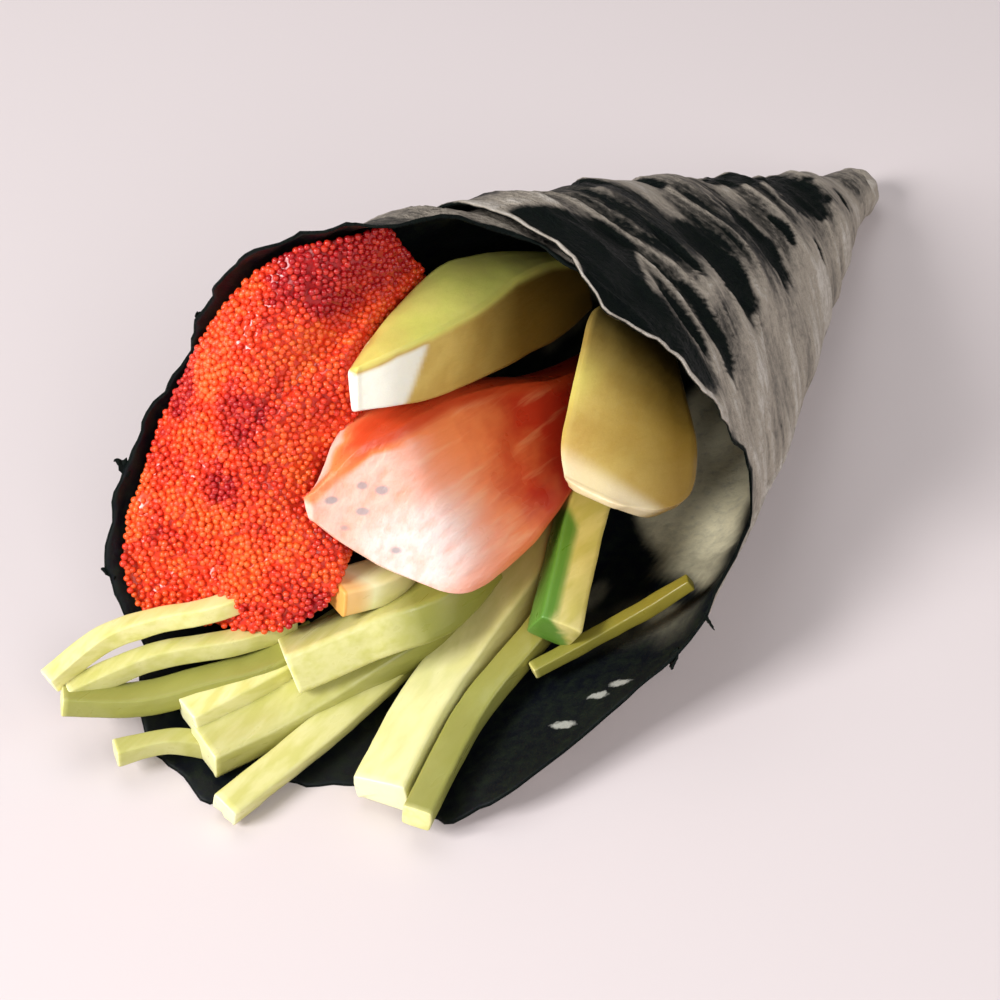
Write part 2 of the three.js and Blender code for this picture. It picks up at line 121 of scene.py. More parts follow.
# Cucumber pieces: width, thickness, turn about their own length, route as along, side, up
STICKS = {
    "cucumber_stick_left": (6.4, 4.6, -20, (
        (105.7, 7.8, -20.6), (100, 3.2, -17.4), (94.5, -1.2, -14.4), (86.5, -1.4, -12.3))),
    "cucumber_stick_back": (4.6, 3.4, 0, (
        (101.6, 6.0, -12.6), (96, 3.6, -12.3), (88, 3.6, -12), (80, 2.4, -10.6))),
    "cucumber_stick_middle": (5.2, 4.0, 10, (
        (116, 10.2, -27.4), (108.5, 7.0, -25.6), (101.5, 4.0, -22.9), (92, -0.2, -18.2),
        (86.5, 0.4, -16.6))),
    "cucumber_stick_low": (4.2, 3.4, 0, (
        (114.9, 13.4, -25.2), (108.5, 10.6, -23.1), (102, 8.4, -21.4), (95, 6.4, -19.4))),
    "cucumber_stick_wide": (5.6, 4.0, -10, (
        (110.2, -8.0, -26.1), (100, -5.5, -23.4), (92, -4.6, -20.9), (83.6, -4.8, -16), (74, -3.6, -12.4))),
    "cucumber_thin_left": (3.3, 2.9, 15, (
        (120, 4.2, -29.3), (106, 2.0, -25.6), (94, 0.9, -22.4), (84, 0.6, -20))),
    "cucumber_thin_right": (3.0, 2.7, 0, (
        (111.5, -13.2, -25.4), (103, -11, -23.7), (95.6, -9.6, -21.9), (85.2, -10.2, -16.9),
        (76, -8.6, -13.4))),
    "cucumber_stick_green": (4.7, 4.2, 20, (
        (88.2, -13, -14.7), (81.5, -10, -11.2), (74.7, -7.2, -7.9), (66, -5.4, -5))),
    "cucumber_thread": (1.7, 1.5, 0, (
        (90, -12.4, -19.2), (84, -16.4, -15.6), (80.4, -20, -11.8), (78.4, -22.6, -8.6))),
    "cucumber_sliver_top": (2.2, 2.2, 0, (
        (121.9, 26.2, -23.5), (116.5, 24.2, -20.2), (112.4, 20.8, -18.2), (108.6, 16.6, -16.6),
        (104, 13.6, -15))),
    "cucumber_sliver_middle": (2.4, 2.3, 0, (
        (120.8, 24.4, -24.6), (114, 19.6, -21.4), (107.4, 13.4, -19.6), (102, 10.6, -18.6))),
    "cucumber_sliver_low": (3.4, 2.4, 0, (
        (121.9, 24.4, -24.9), (116.5, 18.6, -24.9), (111.5, 14.2, -23.2), (106.4, 10.2, -21.6),
        (101, 8, -19.4))),
    "cucumber_sliver_stub": (2.4, 2.0, 0, (
        (121.6, 17.2, -28.2), (117, 13.6, -27.4), (112.6, 9.2, -29))),
}

# Tone of each piece: painted shade towards olive below 0, plain flesh at 0, whitish above
SHADES = {
    "cucumber_thread": -1.0, "cucumber_sliver_low": -0.95, "cucumber_sliver_stub": -0.5,
    "cucumber_sliver_middle": -0.3, "cucumber_thin_left": -0.15, "cucumber_thin_right": -0.9,
    "cucumber_stick_middle": -0.45, "cucumber_stick_left": -0.25, "cucumber_stick_back": 0.25,
    "cucumber_stick_wide": 0.35,
}
# How much more olive painted shade each gets towards its inner end
DEEP_SHADES = {
    "cucumber_stick_left": 1.3, "cucumber_stick_middle": 0.6, "cucumber_stick_low": 0.6,
    "cucumber_thin_left": 0.5,
}

# Camera at the picture's viewing angle, placed from the roll itself
CAMERA_AT = (298.98, -117.04, 157.1)
CAMERA_TARGET = (84.25, -1.93, -5.42)
CAMERA_TURN = math.radians(0.626)
CAMERA_LENS = 100.0
SENSOR_WIDTH = 36.0

# Lamps: name, place and size in metres, power in watts
LAMPS = (
    ("key", (-0.50, 0.22, 0.38), 0.24, 4.7),
    ("fill", (0.15, -0.60, 0.30), 0.5, 1.3),
    ("top", (0.10, 0.25, 0.60), 0.4, 0.9),
    ("front", (-0.34, -0.36, 0.44), 0.30, 1.25),
)
LAMP_AIM = (-0.02, 0.0, 0.02)
ROOM_LIGHT = 0.21
TABLE_REACH = 1.5


# Sizes and colours that a user would change

def size_property(name, description, default):
    return FloatProperty(name=name, description=description, default=default, unit="LENGTH", precision=5)


def colour_property(name, description, default):
    return FloatVectorProperty(name=name, description=description, default=default, subtype="COLOR",
                               size=3, min=0.0, max=1.0)


class TemakiSizes(bpy.types.PropertyGroup):
    """Sizes of the visible surface"""
    sheet: size_property("Sheet thickness", "Thickness of the dried nori sheet", 0.3 * MM)
    crinkle: size_property("Crinkle height", "Height of the ridges across the sheet", 0.75 * MM)
    egg: size_property("Egg diameter", "Diameter of one tobiko egg", 0.74 * MM)
    egg_spacing: size_property("Egg spacing", "Least distance between neighbouring eggs", 0.55 * MM)
    egg_limit: IntProperty(name="Most eggs", description="Upper limit of the number of eggs", default=4800)


class TemakiColours(bpy.types.PropertyGroup):
    """Colours of the food and of the table"""
    # The dark colour is the sheet's own; the pale one is painted sheen on its ridges and side
    nori_dark: colour_property("Nori dark", "Dark colour of the sheet where no sheen is painted", (0.004, 0.006, 0.006))
    nori_sheen: colour_property("Nori pale", "Painted sheen on the ridges of the sheet", (0.37, 0.32, 0.265))
    nori_inside: colour_property("Nori inside", "Inner face of the sheet", (0.004, 0.005, 0.008))
    roe_orange: colour_property("Tobiko orange", "Lit eggs", (0.90, 0.135, 0.020))
    roe_red: colour_property("Tobiko red", "Deeper eggs", (0.43, 0.009, 0.011))
    salmon_flesh: colour_property("Salmon flesh", "Cut flesh", (0.92, 0.24, 0.075))
    # The salmon's pale colour is a painted highlight on its front end
    salmon_highlight: colour_property("Salmon pale", "Pale moist end", (0.97, 0.74, 0.68))
    avocado_flesh: colour_property("Avocado flesh", "Yellow flesh", (0.70, 0.50, 0.135))
    avocado_green: colour_property("Avocado green", "Green flesh near the skin", (0.80, 0.79, 0.17))
    cucumber_flesh: colour_property("Cucumber flesh", "Pale green flesh", (0.78, 0.735, 0.33))
    cucumber_pale: colour_property("Cucumber pale", "Whitish cut ends", (0.90, 0.87, 0.52))
    cucumber_skin: colour_property("Cucumber skin", "Green skin", (0.12, 0.30, 0.045))
    table: colour_property("Table", "Plain pale table", (0.69, 0.615, 0.62))


# Places and limits inside the roll; points are arrays of along, side, up

def smooth(value, low, high):
    part = np.clip((value - low) / (high - low), 0.0, 1.0)
    return part * part * (3.0 - 2.0 * part)


def floor_up(along):
    return -(TIP_HEIGHT + along * math.sin(AXIS_TILT)) / math.cos(AXIS_TILT)


def cone_radius(along):
    return TIP_RADIUS + along * SPREAD - NECK_DEPTH * np.exp(-(((along - NECK_AT) / NECK_WIDTH) ** 2))


def bulge(along, angle):
    degrees = np.degrees(angle) % 360.0
    height = sum(top * np.exp(-(((degrees - at) / width) ** 2)) for at, width, top in BULGES)
    return smooth(along, 0.0, BULGE_REACH) * height


def wind_offset(wind):
    return WIND_PITCH * (wind - WIND_LEVEL) / 360.0


def fold(along, angle):
    strength = 0.35 + 0.65 * np.maximum(0.0, np.sin(angle))
    ease = np.minimum(1.0, along / 25.0)
    return FOLD_HEIGHT * strength * ease * np.sin(
        2.0 * math.pi * along / FOLD_PITCH + 1.6 * np.sin(2.0 * angle) + angle)


def rim_reach(wind):
    return np.interp(wind, [knot[0] for knot in RIM], [knot[1] for knot in RIM])


def inner_wind(angle):
    return (WIND_START - np.degrees(angle)) % 360.0


def sheet_radius(along, angle, wind):
    return cone_radius(along) + bulge(along, angle) + wind_offset(wind) + fold(along, angle)


def keep_inside(points):
    """Points moved inside the sheet and above the table"""
    out = np.array(points, float)
    along, side, up = out[..., 0], out[..., 1], out[..., 2]
    angle = np.arctan2(up, side)
    wind = inner_wind(angle)
    covered = along < rim_reach(wind) + RIM_MARGIN
    limit = sheet_radius(along, angle, wind) - CAD_THICKNESS / 2.0 - WALL_GAP
    reach = np.maximum(np.hypot(side, up), 1e-6)
    scale = np.where(covered, np.minimum(1.0, limit / reach), 1.0)
    out[..., 1] *= scale
    out[..., 2] *= scale
    lowest = floor_up(along) + np.where(covered, CAD_THICKNESS, 0.0) + WALL_GAP
    out[..., 2] = np.maximum(out[..., 2], lowest)
    return out


def to_world(points):
    """World metres of points inside the roll"""
    points = np.asarray(points, float)
    along, side, up = points[..., 0], points[..., 1], points[..., 2]
    x = TIP_X - along * math.cos(AXIS_TILT) + up * math.sin(AXIS_TILT)
    z = TIP_HEIGHT + along * math.sin(AXIS_TILT) + up * math.cos(AXIS_TILT)
    return np.stack([x, side, z], axis=-1) * MM


# Noise and curves

def value_noise(points, seed):
    """Smooth noise between 0 and 1, one lattice cell to a unit"""
    points = np.asarray(points, float)
    cell = np.floor(points).astype(np.int64)
    part = points - cell
    part = part * part * (3.0 - 2.0 * part)
    total = np.zeros(points.shape[:-1])
    for corner in itertools.product((0, 1), repeat=3):
        at = cell + np.array(corner)
        key = at[..., 0] * 73856093 + at[..., 1] * 19349663 + at[..., 2] * 83492791 + seed * 9973
        key = (key ^ (key >> 13)) * 60493 & 0xFFFFFFF
        key = (key ^ (key >> 9)) * 7919 & 0xFFFFFFF
        value = ((key >> 5) & 0xFFFF) / 65535.0
        weight = np.prod(np.where(np.array(corner) == 1, part, 1.0 - part), axis=-1)
        total += value * weight
    return total


def layered_noise(points, seed, layers):
    total = sum(value_noise(np.asarray(points) * 2.0 ** k, seed + k) / 2.0 ** k for k in range(layers))
    return total / (2.0 - 0.5 ** (layers - 1))


def sheet_noise(along, turn, cell, seed, layers=1):
    """Noise over the sheet; a cell has a length along the roll and a width round it"""
    place = np.stack([along / cell[0], turn / cell[1], np.zeros_like(along)], axis=-1)
    return layered_noise(place, seed, layers)


def catmull(knots, at, closed=False):
    """Points on a smooth curve through the knots, at from 0 to 1"""
    knots = np.asarray(knots, float)
    count = len(knots)
    spans = count if closed else count - 1
    place = np.clip(np.asarray(at, float), 0.0, 1.0) * spans
    first = np.minimum(np.floor(place).astype(int), spans - 1)
    t = (place - first).reshape((-1,) + (1,) * (knots.ndim - 1))

    def knot(shift):
        index = first + shift
        return knots[index % count] if closed else knots[np.clip(index, 0, count - 1)]

    p0, p1, p2, p3 = knot(-1), knot(0), knot(1), knot(2)
    return 0.5 * (2 * p1 + (p2 - p0) * t + (2 * p0 - 5 * p1 + 4 * p2 - p3) * t ** 2
                  + (3 * p1 - p0 - 3 * p2 + p3) * t ** 3)


def round_corners(ring, cuts):
    """Cuts the corners of closed rings; the last but one axis runs round"""
    for cut in cuts:
        following = np.roll(ring, -1, axis=-2)
        near = ring + (following - ring) * cut
        far = ring + (following - ring) * (1.0 - cut)
        ring = np.stack([near, far], axis=-2).reshape(ring.shape[:-2] + (-1, ring.shape[-1]))
    return ring


# Mesh making

# Rings of a closed end, as degrees of its rounding
DOME_TURNS, BEVEL_TURNS = (18.0, 36.0, 54.0, 72.0, 90.0), (30.0, 60.0, 90.0)
DOME_INSET = 0.92
CORNERS = ((1, 1), (-1, 1), (-1, -1), (1, -1))
# Shares cut off each long edge in turn, then the size of the end's bevel
BLOCK_CUTS, BLOCK_BEVEL = (0.07, 0.22), 0.5
STICK_CUTS, STICK_BEVEL = (0.09, 0.25), 0.2
STICK_WOBBLE = 0.1
# Rings along a stick whose route has four places or more, and along a shorter one
LONG_STATIONS, SHORT_STATIONS = 40, 26


def grid_quads(rows, columns, closed):
    row = np.arange(rows - 1)[:, None]
    column = np.arange(columns if closed else columns - 1)[None, :]
    a = row * columns + column
    b = row * columns + (column + 1) % columns
    return np.stack([a, b, b + columns, a + columns], axis=-1).reshape(-1, 4)


def make_piece(name, points, faces, tones, materials, material_index=None):
    """Object with the mesh in world metres, its place in the roll and its tone as attributes"""
    mesh = bpy.data.meshes.new(name)
    mesh.from_pydata(to_world(points).tolist(), [], [list(face) for face in faces])
    place = mesh.attributes.new("place", "FLOAT_VECTOR", "POINT")
    place.data.foreach_set("vector", np.asarray(points, np.float32).ravel())
    tone = mesh.attributes.new("tone", "FLOAT", "POINT")
    tone.data.foreach_set("value", np.asarray(tones, np.float32))
    for material in materials:
        mesh.materials.append(material)
    if material_index is not None:
        mesh.polygons.foreach_set("material_index", np.asarray(material_index, np.int32))
    edit = bmesh.new()
    edit.from_mesh(mesh)
    bmesh.ops.recalc_face_normals(edit, faces=edit.faces)
    edit.to_mesh(mesh)
    edit.free()
    mesh.polygons.foreach_set("use_smooth", np.ones(len(mesh.polygons), bool))
    piece = bpy.data.objects.new(name, mesh)
    bpy.context.collection.objects.link(piece)
    return piece


def rounded_end(ring, outward, bevel, dome):
    """Rings that close a row of rings with a bevelled flat end, or with a dome"""
    middle = ring.mean(axis=0)
    reach = np.linalg.norm(ring - middle, axis=1).mean()
    bevel = min(bevel, 0.3 * reach)
    rings = []
    for turn in DOME_TURNS if dome else BEVEL_TURNS:
        inset = (DOME_INSET * reach if dome else bevel) * (1.0 - math.cos(math.radians(turn)))
        rise = bevel * math.sin(math.radians(turn))
        rings.append(middle + (ring - middle) * (1.0 - inset / reach) + outward * rise)
    flat = rings[-1]
    middle = flat.mean(axis=0)
    rings += [middle + (flat - middle) * scale for scale in (0.66, 0.33)]
    return rings


def capped_skin(rings):
    """Points and faces of a skin through closed rings, with a fan over each end"""
    rows, count = rings.shape[:2]
    points = np.concatenate([rings.reshape(-1, 3), [rings[0].mean(axis=0)], [rings[-1].mean(axis=0)]])
    faces = grid_quads(rows, count, True).tolist()
    hub = rows * count
    for k in range(count):
        following = (k + 1) % count
        faces.append([hub, following, k])
        faces.append([hub + 1, hub - count + k, hub - count + following])
    return points, faces


def closed_loft(rings, bevel, dome=False):
    """Points and faces of a skin through rings, with rounded ends"""
    ends = []
    for ring, inner in ((rings[0], rings[1]), (rings[-1], rings[-2])):
        outward = ring.mean(axis=0) - inner.mean(axis=0)
        ends.append(rounded_end(ring, outward / np.linalg.norm(outward), bevel, dome))
    return capped_skin(np.array(ends[0][::-1] + list(rings) + ends[1]))


def densify(rings, parts):
    """Rings with each edge split, so that faces stay small on long sides"""
    following = np.roll(rings, -1, axis=1)
    steps = [rings + (following - rings) * (k / parts) for k in range(parts)]
    return np.stack(steps, axis=2).reshape(rings.shape[0], -1, 3)


def uneven_rings(rings, height, cell, seed, layers):
    """Rings pushed in and out by noise, so that cut faces aren't flat"""
    outward = rings - rings.mean(axis=1, keepdims=True)
    outward /= np.linalg.norm(outward, axis=-1, keepdims=True)
    return rings + outward * height * (2.0 * layered_noise(rings / cell, seed, layers) - 1.0)[..., None]


def block_loft(sections, stations, wobble, seed, dome=False):
    """A cut block through its sections, with slightly uneven faces"""
    corners = np.array([[(along, side, up) for side, up in ring] for along, ring in sections], float)
    rings = catmull(corners, np.linspace(0.0, 1.0, stations))
    rings = uneven_rings(densify(round_corners(rings, BLOCK_CUTS), 6), wobble, 4.0, seed, 3)
    return closed_loft(keep_inside(rings), BLOCK_BEVEL, dome)


def stick_loft(width, thickness, turn, route, stations, wobble, seed):
    """A cut stick with rounded corners along its route"""
    at = np.linspace(0.0, 1.0, stations)
    centres = catmull(route, at)
    tangents = np.gradient(centres, axis=0)
    tangents /= np.linalg.norm(tangents, axis=1, keepdims=True)
    across = np.cross([0.0, 0.0, 1.0], tangents)
    across /= np.linalg.norm(across, axis=1, keepdims=True)
    rise = np.cross(tangents, across)
    angle = math.radians(turn)
    turned = across * math.cos(angle) - rise * math.sin(angle)
    rise = across * math.sin(angle) + rise * math.cos(angle)
    size = 1.0 + 0.06 * (2.0 * value_noise(np.stack([at * 3.0, at * 0 + seed, at * 0], axis=1), seed) - 1.0)
    half_width = (width / 2.0 * size)[:, None, None]
    half_rise = (thickness / 2.0 * size)[:, None, None]
    corners = np.array(CORNERS, float)[None, :, :, None]
    rings = (centres[:, None] + corners[:, :, 0] * half_width * turned[:, None]
             + corners[:, :, 1] * half_rise * rise[:, None])
    rings = uneven_rings(densify(round_corners(rings, STICK_CUTS), 3), wobble, 2.5, seed, 2)
    return closed_loft(keep_inside(rings), STICK_BEVEL)


# Materials

# Shades that go with the main colours
# The crest shade of the nori is a painted highlight
NORI_GREEN, NORI_BROWN, NORI_CREST_HIGHLIGHT = (0.006, 0.009, 0.007), (0.12, 0.105, 0.09), (0.60, 0.55, 0.50)
# The inner sheen and the glint grey are painted sheen and glints
INNER_GREEN, INNER_SHEEN, GLINT_GREY = (0.008, 0.012, 0.008), (0.88, 0.80, 0.55), (0.36, 0.36, 0.33)
ROE_MIDDLE = (0.82, 0.052, 0.014)
# The salmon's deep red and the red along its top are painted shade
SALMON_DEEP_SHADE, SALMON_LINE, SALMON_STRIP_SHADE = (0.60, 0.035, 0.014), (0.95, 0.42, 0.20), (0.66, 0.075, 0.02)
FLECK_GREY = (0.36, 0.33, 0.35)
# The avocado's golden is its own colour; its brown is painted shade deep in the roll
AVOCADO_GOLDEN, AVOCADO_BROWN_SHADE = (0.56, 0.35, 0.075), (0.20, 0.115, 0.016)
# The avocado's cream is a painted highlight on its cut ends
AVOCADO_LIME, AVOCADO_CREAM_HIGHLIGHT = (0.86, 0.78, 0.20), (0.96, 0.93, 0.80)
# The cucumber's orange is a painted reflection of the roe
CUCUMBER_FIBRE, CUCUMBER_ROE_REFLECTION = (0.66, 0.63, 0.20), (0.85, 0.42, 0.10)
# The cucumber's olive and golden are painted shade
CUCUMBER_OLIVE, CUCUMBER_GOLDEN_SHADE = (0.28, 0.28, 0.055), (0.86, 0.70, 0.42)


def new_material(name):
    material = bpy.data.materials.new(name)
    material.use_nodes = True
    tree = material.node_tree
    return material, tree, tree.nodes["Principled BSDF"]


def food_material(name):
    """New material, with the tone of each place as a value"""
    material, tree, shader = new_material(name)
    return material, tree, shader, attribute(tree, "tone", "Fac")


def add_node(tree, kind, values=None, **settings):
    node = tree.nodes.new(kind)
    for key, value in settings.items():
        setattr(node, key, value)
    for key, value in (values or {}).items():
        node.inputs[key].default_value = value
    return node


def attribute(tree, name, output):
    return add_node(tree, "ShaderNodeAttribute", attribute_name=name).outputs[output]


def mapped_place(tree, values):
    """Place in the roll's own millimetres, moved or scaled on each axis"""
    mapping = add_node(tree, "ShaderNodeMapping", values)
    tree.links.new(attribute(tree, "place", "Vector"), mapping.inputs["Vector"])
    return mapping.outputs["Vector"]


def noise(tree, stretch, scale, detail, roughness):
    """Noise over the place in the roll, stretched on each axis"""
    node = add_node(tree, "ShaderNodeTexNoise", {"Scale": scale, "Detail": detail, "Roughness": roughness})
    tree.links.new(mapped_place(tree, {"Scale": stretch}), node.inputs["Vector"])
    return node.outputs["Fac"]


def ramp(tree, value, low, high, start=0.0, end=1.0):
    limits = {"From Min": low, "From Max": high, "To Min": start, "To Max": end}
    node = add_node(tree, "ShaderNodeMapRange", limits)
    tree.links.new(value, node.inputs["Value"])
    return node.outputs["Result"]


def blend_colours(tree, factor, first, second, mode="MIX"):
    node = add_node(tree, "ShaderNodeMix", data_type="RGBA", blend_type=mode)
    for key, value in (("Factor", factor), ("A", first), ("B", second)):
        socket = node.inputs[key]
        if isinstance(value, bpy.types.NodeSocket):
            tree.links.new(value, socket)
        elif isinstance(value, float):
            socket.default_value = value
        else:
            socket.default_value = (*value, 1.0)
    return next(out for out in node.outputs if out.type == "RGBA")


def math_node(tree, operation, first, second):
    node = add_node(tree, "ShaderNodeMath", operation=operation)
    for socket, value in zip(node.inputs, (first, second)):
        if isinstance(value, bpy.types.NodeSocket):
            tree.links.new(value, socket)
        else:
            socket.default_value = value
    return node.outputs["Value"]


def add_bump(tree, shader, height, strength, distance):
    bump = add_node(tree, "ShaderNodeBump", {"Strength": strength, "Distance": distance})
    tree.links.new(height, bump.inputs["Height"])
    tree.links.new(bump.outputs["Normal"], shader.inputs["Normal"])


def set_surface(tree, shader, colour, pattern, roughness):
    """Base colour, and roughness from one value to the other with a pattern"""
    tree.links.new(colour, shader.inputs["Base Color"])
    tree.links.new(ramp(tree, pattern, 0.3, 0.7, *roughness), shader.inputs["Roughness"])


def let_light_in(shader, weight, radius, scale):
    """Light that spreads a little way under the surface"""
    shader.inputs["Subsurface Weight"].default_value = weight
    shader.inputs["Subsurface Radius"].default_value = radius
    shader.inputs["Subsurface Scale"].default_value = scale


def place_axis(tree, axis):
    """One coordinate inside the roll, in millimetres: X is along, Y to the side, Z up"""
    split = add_node(tree, "ShaderNodeSeparateXYZ")
    tree.links.new(attribute(tree, "place", "Vector"), split.inputs["Vector"])
    return split.outputs[axis]


def nori_material(colours):
    """Dark sheet with painted sheen on its crests and side, a painted highlight on the highest crests, and
    a fine dimpled grain
    """
    material, tree, shader, tone = food_material("nori outside")
    streaks = noise(tree, (0.9, 0.16, 0.16), 1.0, 5.0, 0.6)
    grain = noise(tree, (1.0, 1.0, 1.0), 1.3, 4.0, 0.6)
    uneven = math_node(tree, "ADD", tone, ramp(tree, streaks, 0.3, 0.7, -0.13, 0.13))
    uneven = math_node(tree, "ADD", uneven, ramp(tree, grain, 0.3, 0.7, -0.10, 0.10))
    green = blend_colours(tree, ramp(tree, grain, 0.35, 0.7), colours.nori_dark, NORI_GREEN)
    middle = blend_colours(tree, ramp(tree, uneven, 0.32, 0.56), green, NORI_BROWN)
    # Painted sheen on the crests and side, then a painted highlight on the highest crests
    pale = blend_colours(tree, ramp(tree, uneven, 0.50, 0.80), middle, colours.nori_sheen)
    colour = blend_colours(tree, ramp(tree, uneven, 0.86, 1.15), pale, NORI_CREST_HIGHLIGHT)
    set_surface(tree, shader, colour, grain, (0.36, 0.55))
    shader.inputs["Specular IOR Level"].default_value = 0.04
    add_bump(tree, shader, math_node(tree, "ADD", grain, streaks), 0.8, 0.0006)
    return material


def place_marks(tree, grain, centres, size):
    """Mask of small marks of one size at places in the roll, with uneven outlines"""
    total = None
    for centre in centres:
        offset = mapped_place(tree, {
            "Location": [-at / reach for at, reach in zip(centre, size)],
            "Scale": [1.0 / reach for reach in size]})
        length = add_node(tree, "ShaderNodeVectorMath", operation="LENGTH")
        tree.links.new(offset, length.inputs[0])
        distance = math_node(tree, "ADD", length.outputs["Value"], ramp(tree, grain, 0.3, 0.7, -0.5, 0.5))
        mask = ramp(tree, distance, 1.25, 0.65)
        total = mask if total is None else math_node(tree, "MAXIMUM", total, mask)
    return total


def on_sheet(along, degrees):
    """Place of a point on the sheet's inner layer"""
    angle = math.radians(degrees)
    radius = float(sheet_radius(along, angle, inner_wind(angle)))
    return along, radius * math.cos(angle), radius * math.sin(angle)


def nori_inner_material(colours):
    """Blue black inner face with a dull green painted sheen and painted glints"""
    material, tree, shader, tone = food_material("nori inside")
    grain = noise(tree, (1.0, 1.0, 1.0), 0.8, 4.0, 0.6)
    dark = blend_colours(tree, ramp(tree, grain, 0.4, 0.7), colours.nori_inside, INNER_GREEN)
    uneven = math_node(tree, "MULTIPLY", tone, ramp(tree, grain, 0.2, 0.6, 0.7, 1.1))
    sheen = blend_colours(tree, uneven, dark, INNER_SHEEN)
    # Painted glints of light near the rim
    glints = place_marks(tree, grain, [on_sheet(*glint) for glint in GLINTS], GLINT_SIZE)
    set_surface(tree, shader, blend_colours(tree, glints, sheen, GLINT_GREY), grain, (0.36, 0.6))
    shader.inputs["Specular IOR Level"].default_value = 0.15
    add_bump(tree, shader, grain, 0.4, 0.0003)
    return material


def roe_material(colours):
    """Wet eggs, orange to red from one to the next, with painted shade and painted highlights in their tone
    """
    material, tree, shader, tone = food_material("tobiko")
    warm = blend_colours(tree, ramp(tree, tone, 0.45, 1.0), ROE_MIDDLE, colours.roe_orange)
    colour = blend_colours(tree, ramp(tree, tone, 0.0, 0.45), colours.roe_red, warm)
    tree.links.new(colour, shader.inputs["Base Color"])
    shader.inputs["Roughness"].default_value = 0.24
    let_light_in(shader, 0.35, (1.0, 0.25, 0.1), 0.0009)
    return material


def salmon_material(colours):
    """Moist flesh with fibre lines, red with painted shade deep in the roll and along the top, and pale
    with a painted highlight on the front end
    """
    material, tree, shader, tone = food_material("salmon")
    fibres = noise(tree, (0.07, 0.85, 0.55), 1.0, 3.0, 0.55)
    cloud = noise(tree, (0.2, 0.2, 0.2), 1.0, 3.0, 0.5)
    shift = math_node(tree, "ADD", place_axis(tree, "X"), ramp(tree, cloud, 0.3, 0.7, -4.0, 4.0))
    # Painted shade: darker red deeper in the roll
    flesh = blend_colours(tree, ramp(tree, shift, 78.0, 89.0), SALMON_DEEP_SHADE, colours.salmon_flesh)
    lined = blend_colours(tree, ramp(tree, fibres, 0.54, 0.66, 0.0, 0.45), flesh, SALMON_LINE)
    pale = math_node(tree, "MULTIPLY", tone, ramp(tree, fibres, 0.3, 0.55, 0.62, 1.0))
    # Painted highlight on the front end
    highlighted = blend_colours(tree, pale, lined, colours.salmon_highlight)
    # Painted shade along the top, under the avocado
    shaded_strip = blend_colours(tree, ramp(tree, tone, 0.0, -1.0), highlighted, SALMON_STRIP_SHADE)
    flecks = ramp(tree, place_marks(tree, cloud, FLECKS, FLECK_SIZE), 0.0, 1.0, 0.0, 0.75)
    set_surface(tree, shader, blend_colours(tree, flecks, shaded_strip, FLECK_GREY), cloud, (0.24, 0.38))
    let_light_in(shader, 0.2, (1.0, 0.4, 0.25), 0.0012)
    add_bump(tree, shader, fibres, 0.45, 0.0005)
    return material


def avocado_material(colours, name, lean, brown, golden_at):
    """Soft flesh: tone below 0 is a cream painted highlight, 0 is yellow, 1 is green; painted shade turns
    it brown deep in the roll
    """
    material, tree, shader, tone = food_material(name)
    cloud = noise(tree, (0.16, 0.22, 0.22), 1.0, 4.0, 0.55)
    grain = noise(tree, (0.35, 1.0, 1.0), 1.2, 3.0, 0.6)
    golden = blend_colours(tree, ramp(tree, cloud, 0.4, 0.7), colours.avocado_flesh, AVOCADO_GOLDEN)
    # Painted shade: brown deeper in the roll, and with a lean also towards one side
    aside = math_node(tree, "MULTIPLY", place_axis(tree, "Y"), lean)
    depth = math_node(tree, "ADD", place_axis(tree, "X"), aside)
    deep = blend_colours(tree, ramp(tree, depth, brown, golden_at), AVOCADO_BROWN_SHADE, golden)
    green = blend_colours(tree, ramp(tree, cloud, 0.35, 0.7), colours.avocado_green, AVOCADO_LIME)
    warm = blend_colours(tree, tone, deep, green)
    # Painted highlight in cream on the cut end
    colour = blend_colours(tree, ramp(tree, tone, 0.0, -1.0), warm, AVOCADO_CREAM_HIGHLIGHT)
    set_surface(tree, shader, colour, grain, (0.34, 0.5))
    let_light_in(shader, 0.15, (1.0, 0.8, 0.3), 0.001)
    add_bump(tree, shader, grain, 0.25, 0.0003)
    return material


def cucumber_material(colours, name, skin):
    """Wet flesh with fibres: tone below 0 is olive painted shade, 1 a whitish end or skin, 2 a painted
    reflection of the roe
    """
    material, tree, shader, tone = food_material(name)
    fibres = noise(tree, (0.07, 0.8, 0.8), 1.0, 3.0, 0.5)
    flesh = blend_colours(tree, ramp(tree, fibres, 0.40, 0.66), colours.cucumber_flesh, CUCUMBER_FIBRE)
    second = colours.cucumber_skin if skin else colours.cucumber_pale
    light = blend_colours(tree, tone, flesh, second)
    # Painted reflection of the roe
    roe_reflected = blend_colours(tree, ramp(tree, tone, 1.0, 2.0), light, CUCUMBER_ROE_REFLECTION)
    shaded = blend_colours(tree, ramp(tree, tone, 0.0, -1.0), roe_reflected, CUCUMBER_OLIVE)
    # Painted shade: darker and more golden deeper in the roll
    golden = blend_colours(tree, 1.0, shaded, CUCUMBER_GOLDEN_SHADE, "MULTIPLY")
    colour = blend_colours(tree, ramp(tree, place_axis(tree, "X"), 96.0, 81.0), shaded, golden)
    set_surface(tree, shader, colour, fibres, (0.26, 0.42))
    let_light_in(shader, 0.12, (1.0, 1.0, 0.45), 0.0012)
    add_bump(tree, shader, fibres, 0.3, 0.0003)
    return material


def table_material(colours):
    material, tree, shader = new_material("table")
    cloud = add_node(tree, "ShaderNodeTexNoise", {"Scale": 6.0, "Detail": 2.0})
    warm = tuple(0.97 * part for part in colours.table)
    colour = blend_colours(tree, cloud.outputs["Fac"], colours.table, warm)
    tree.links.new(colour, shader.inputs["Base Color"])
    shader.inputs["Roughness"].default_value = 0.6
    return material


# Nori

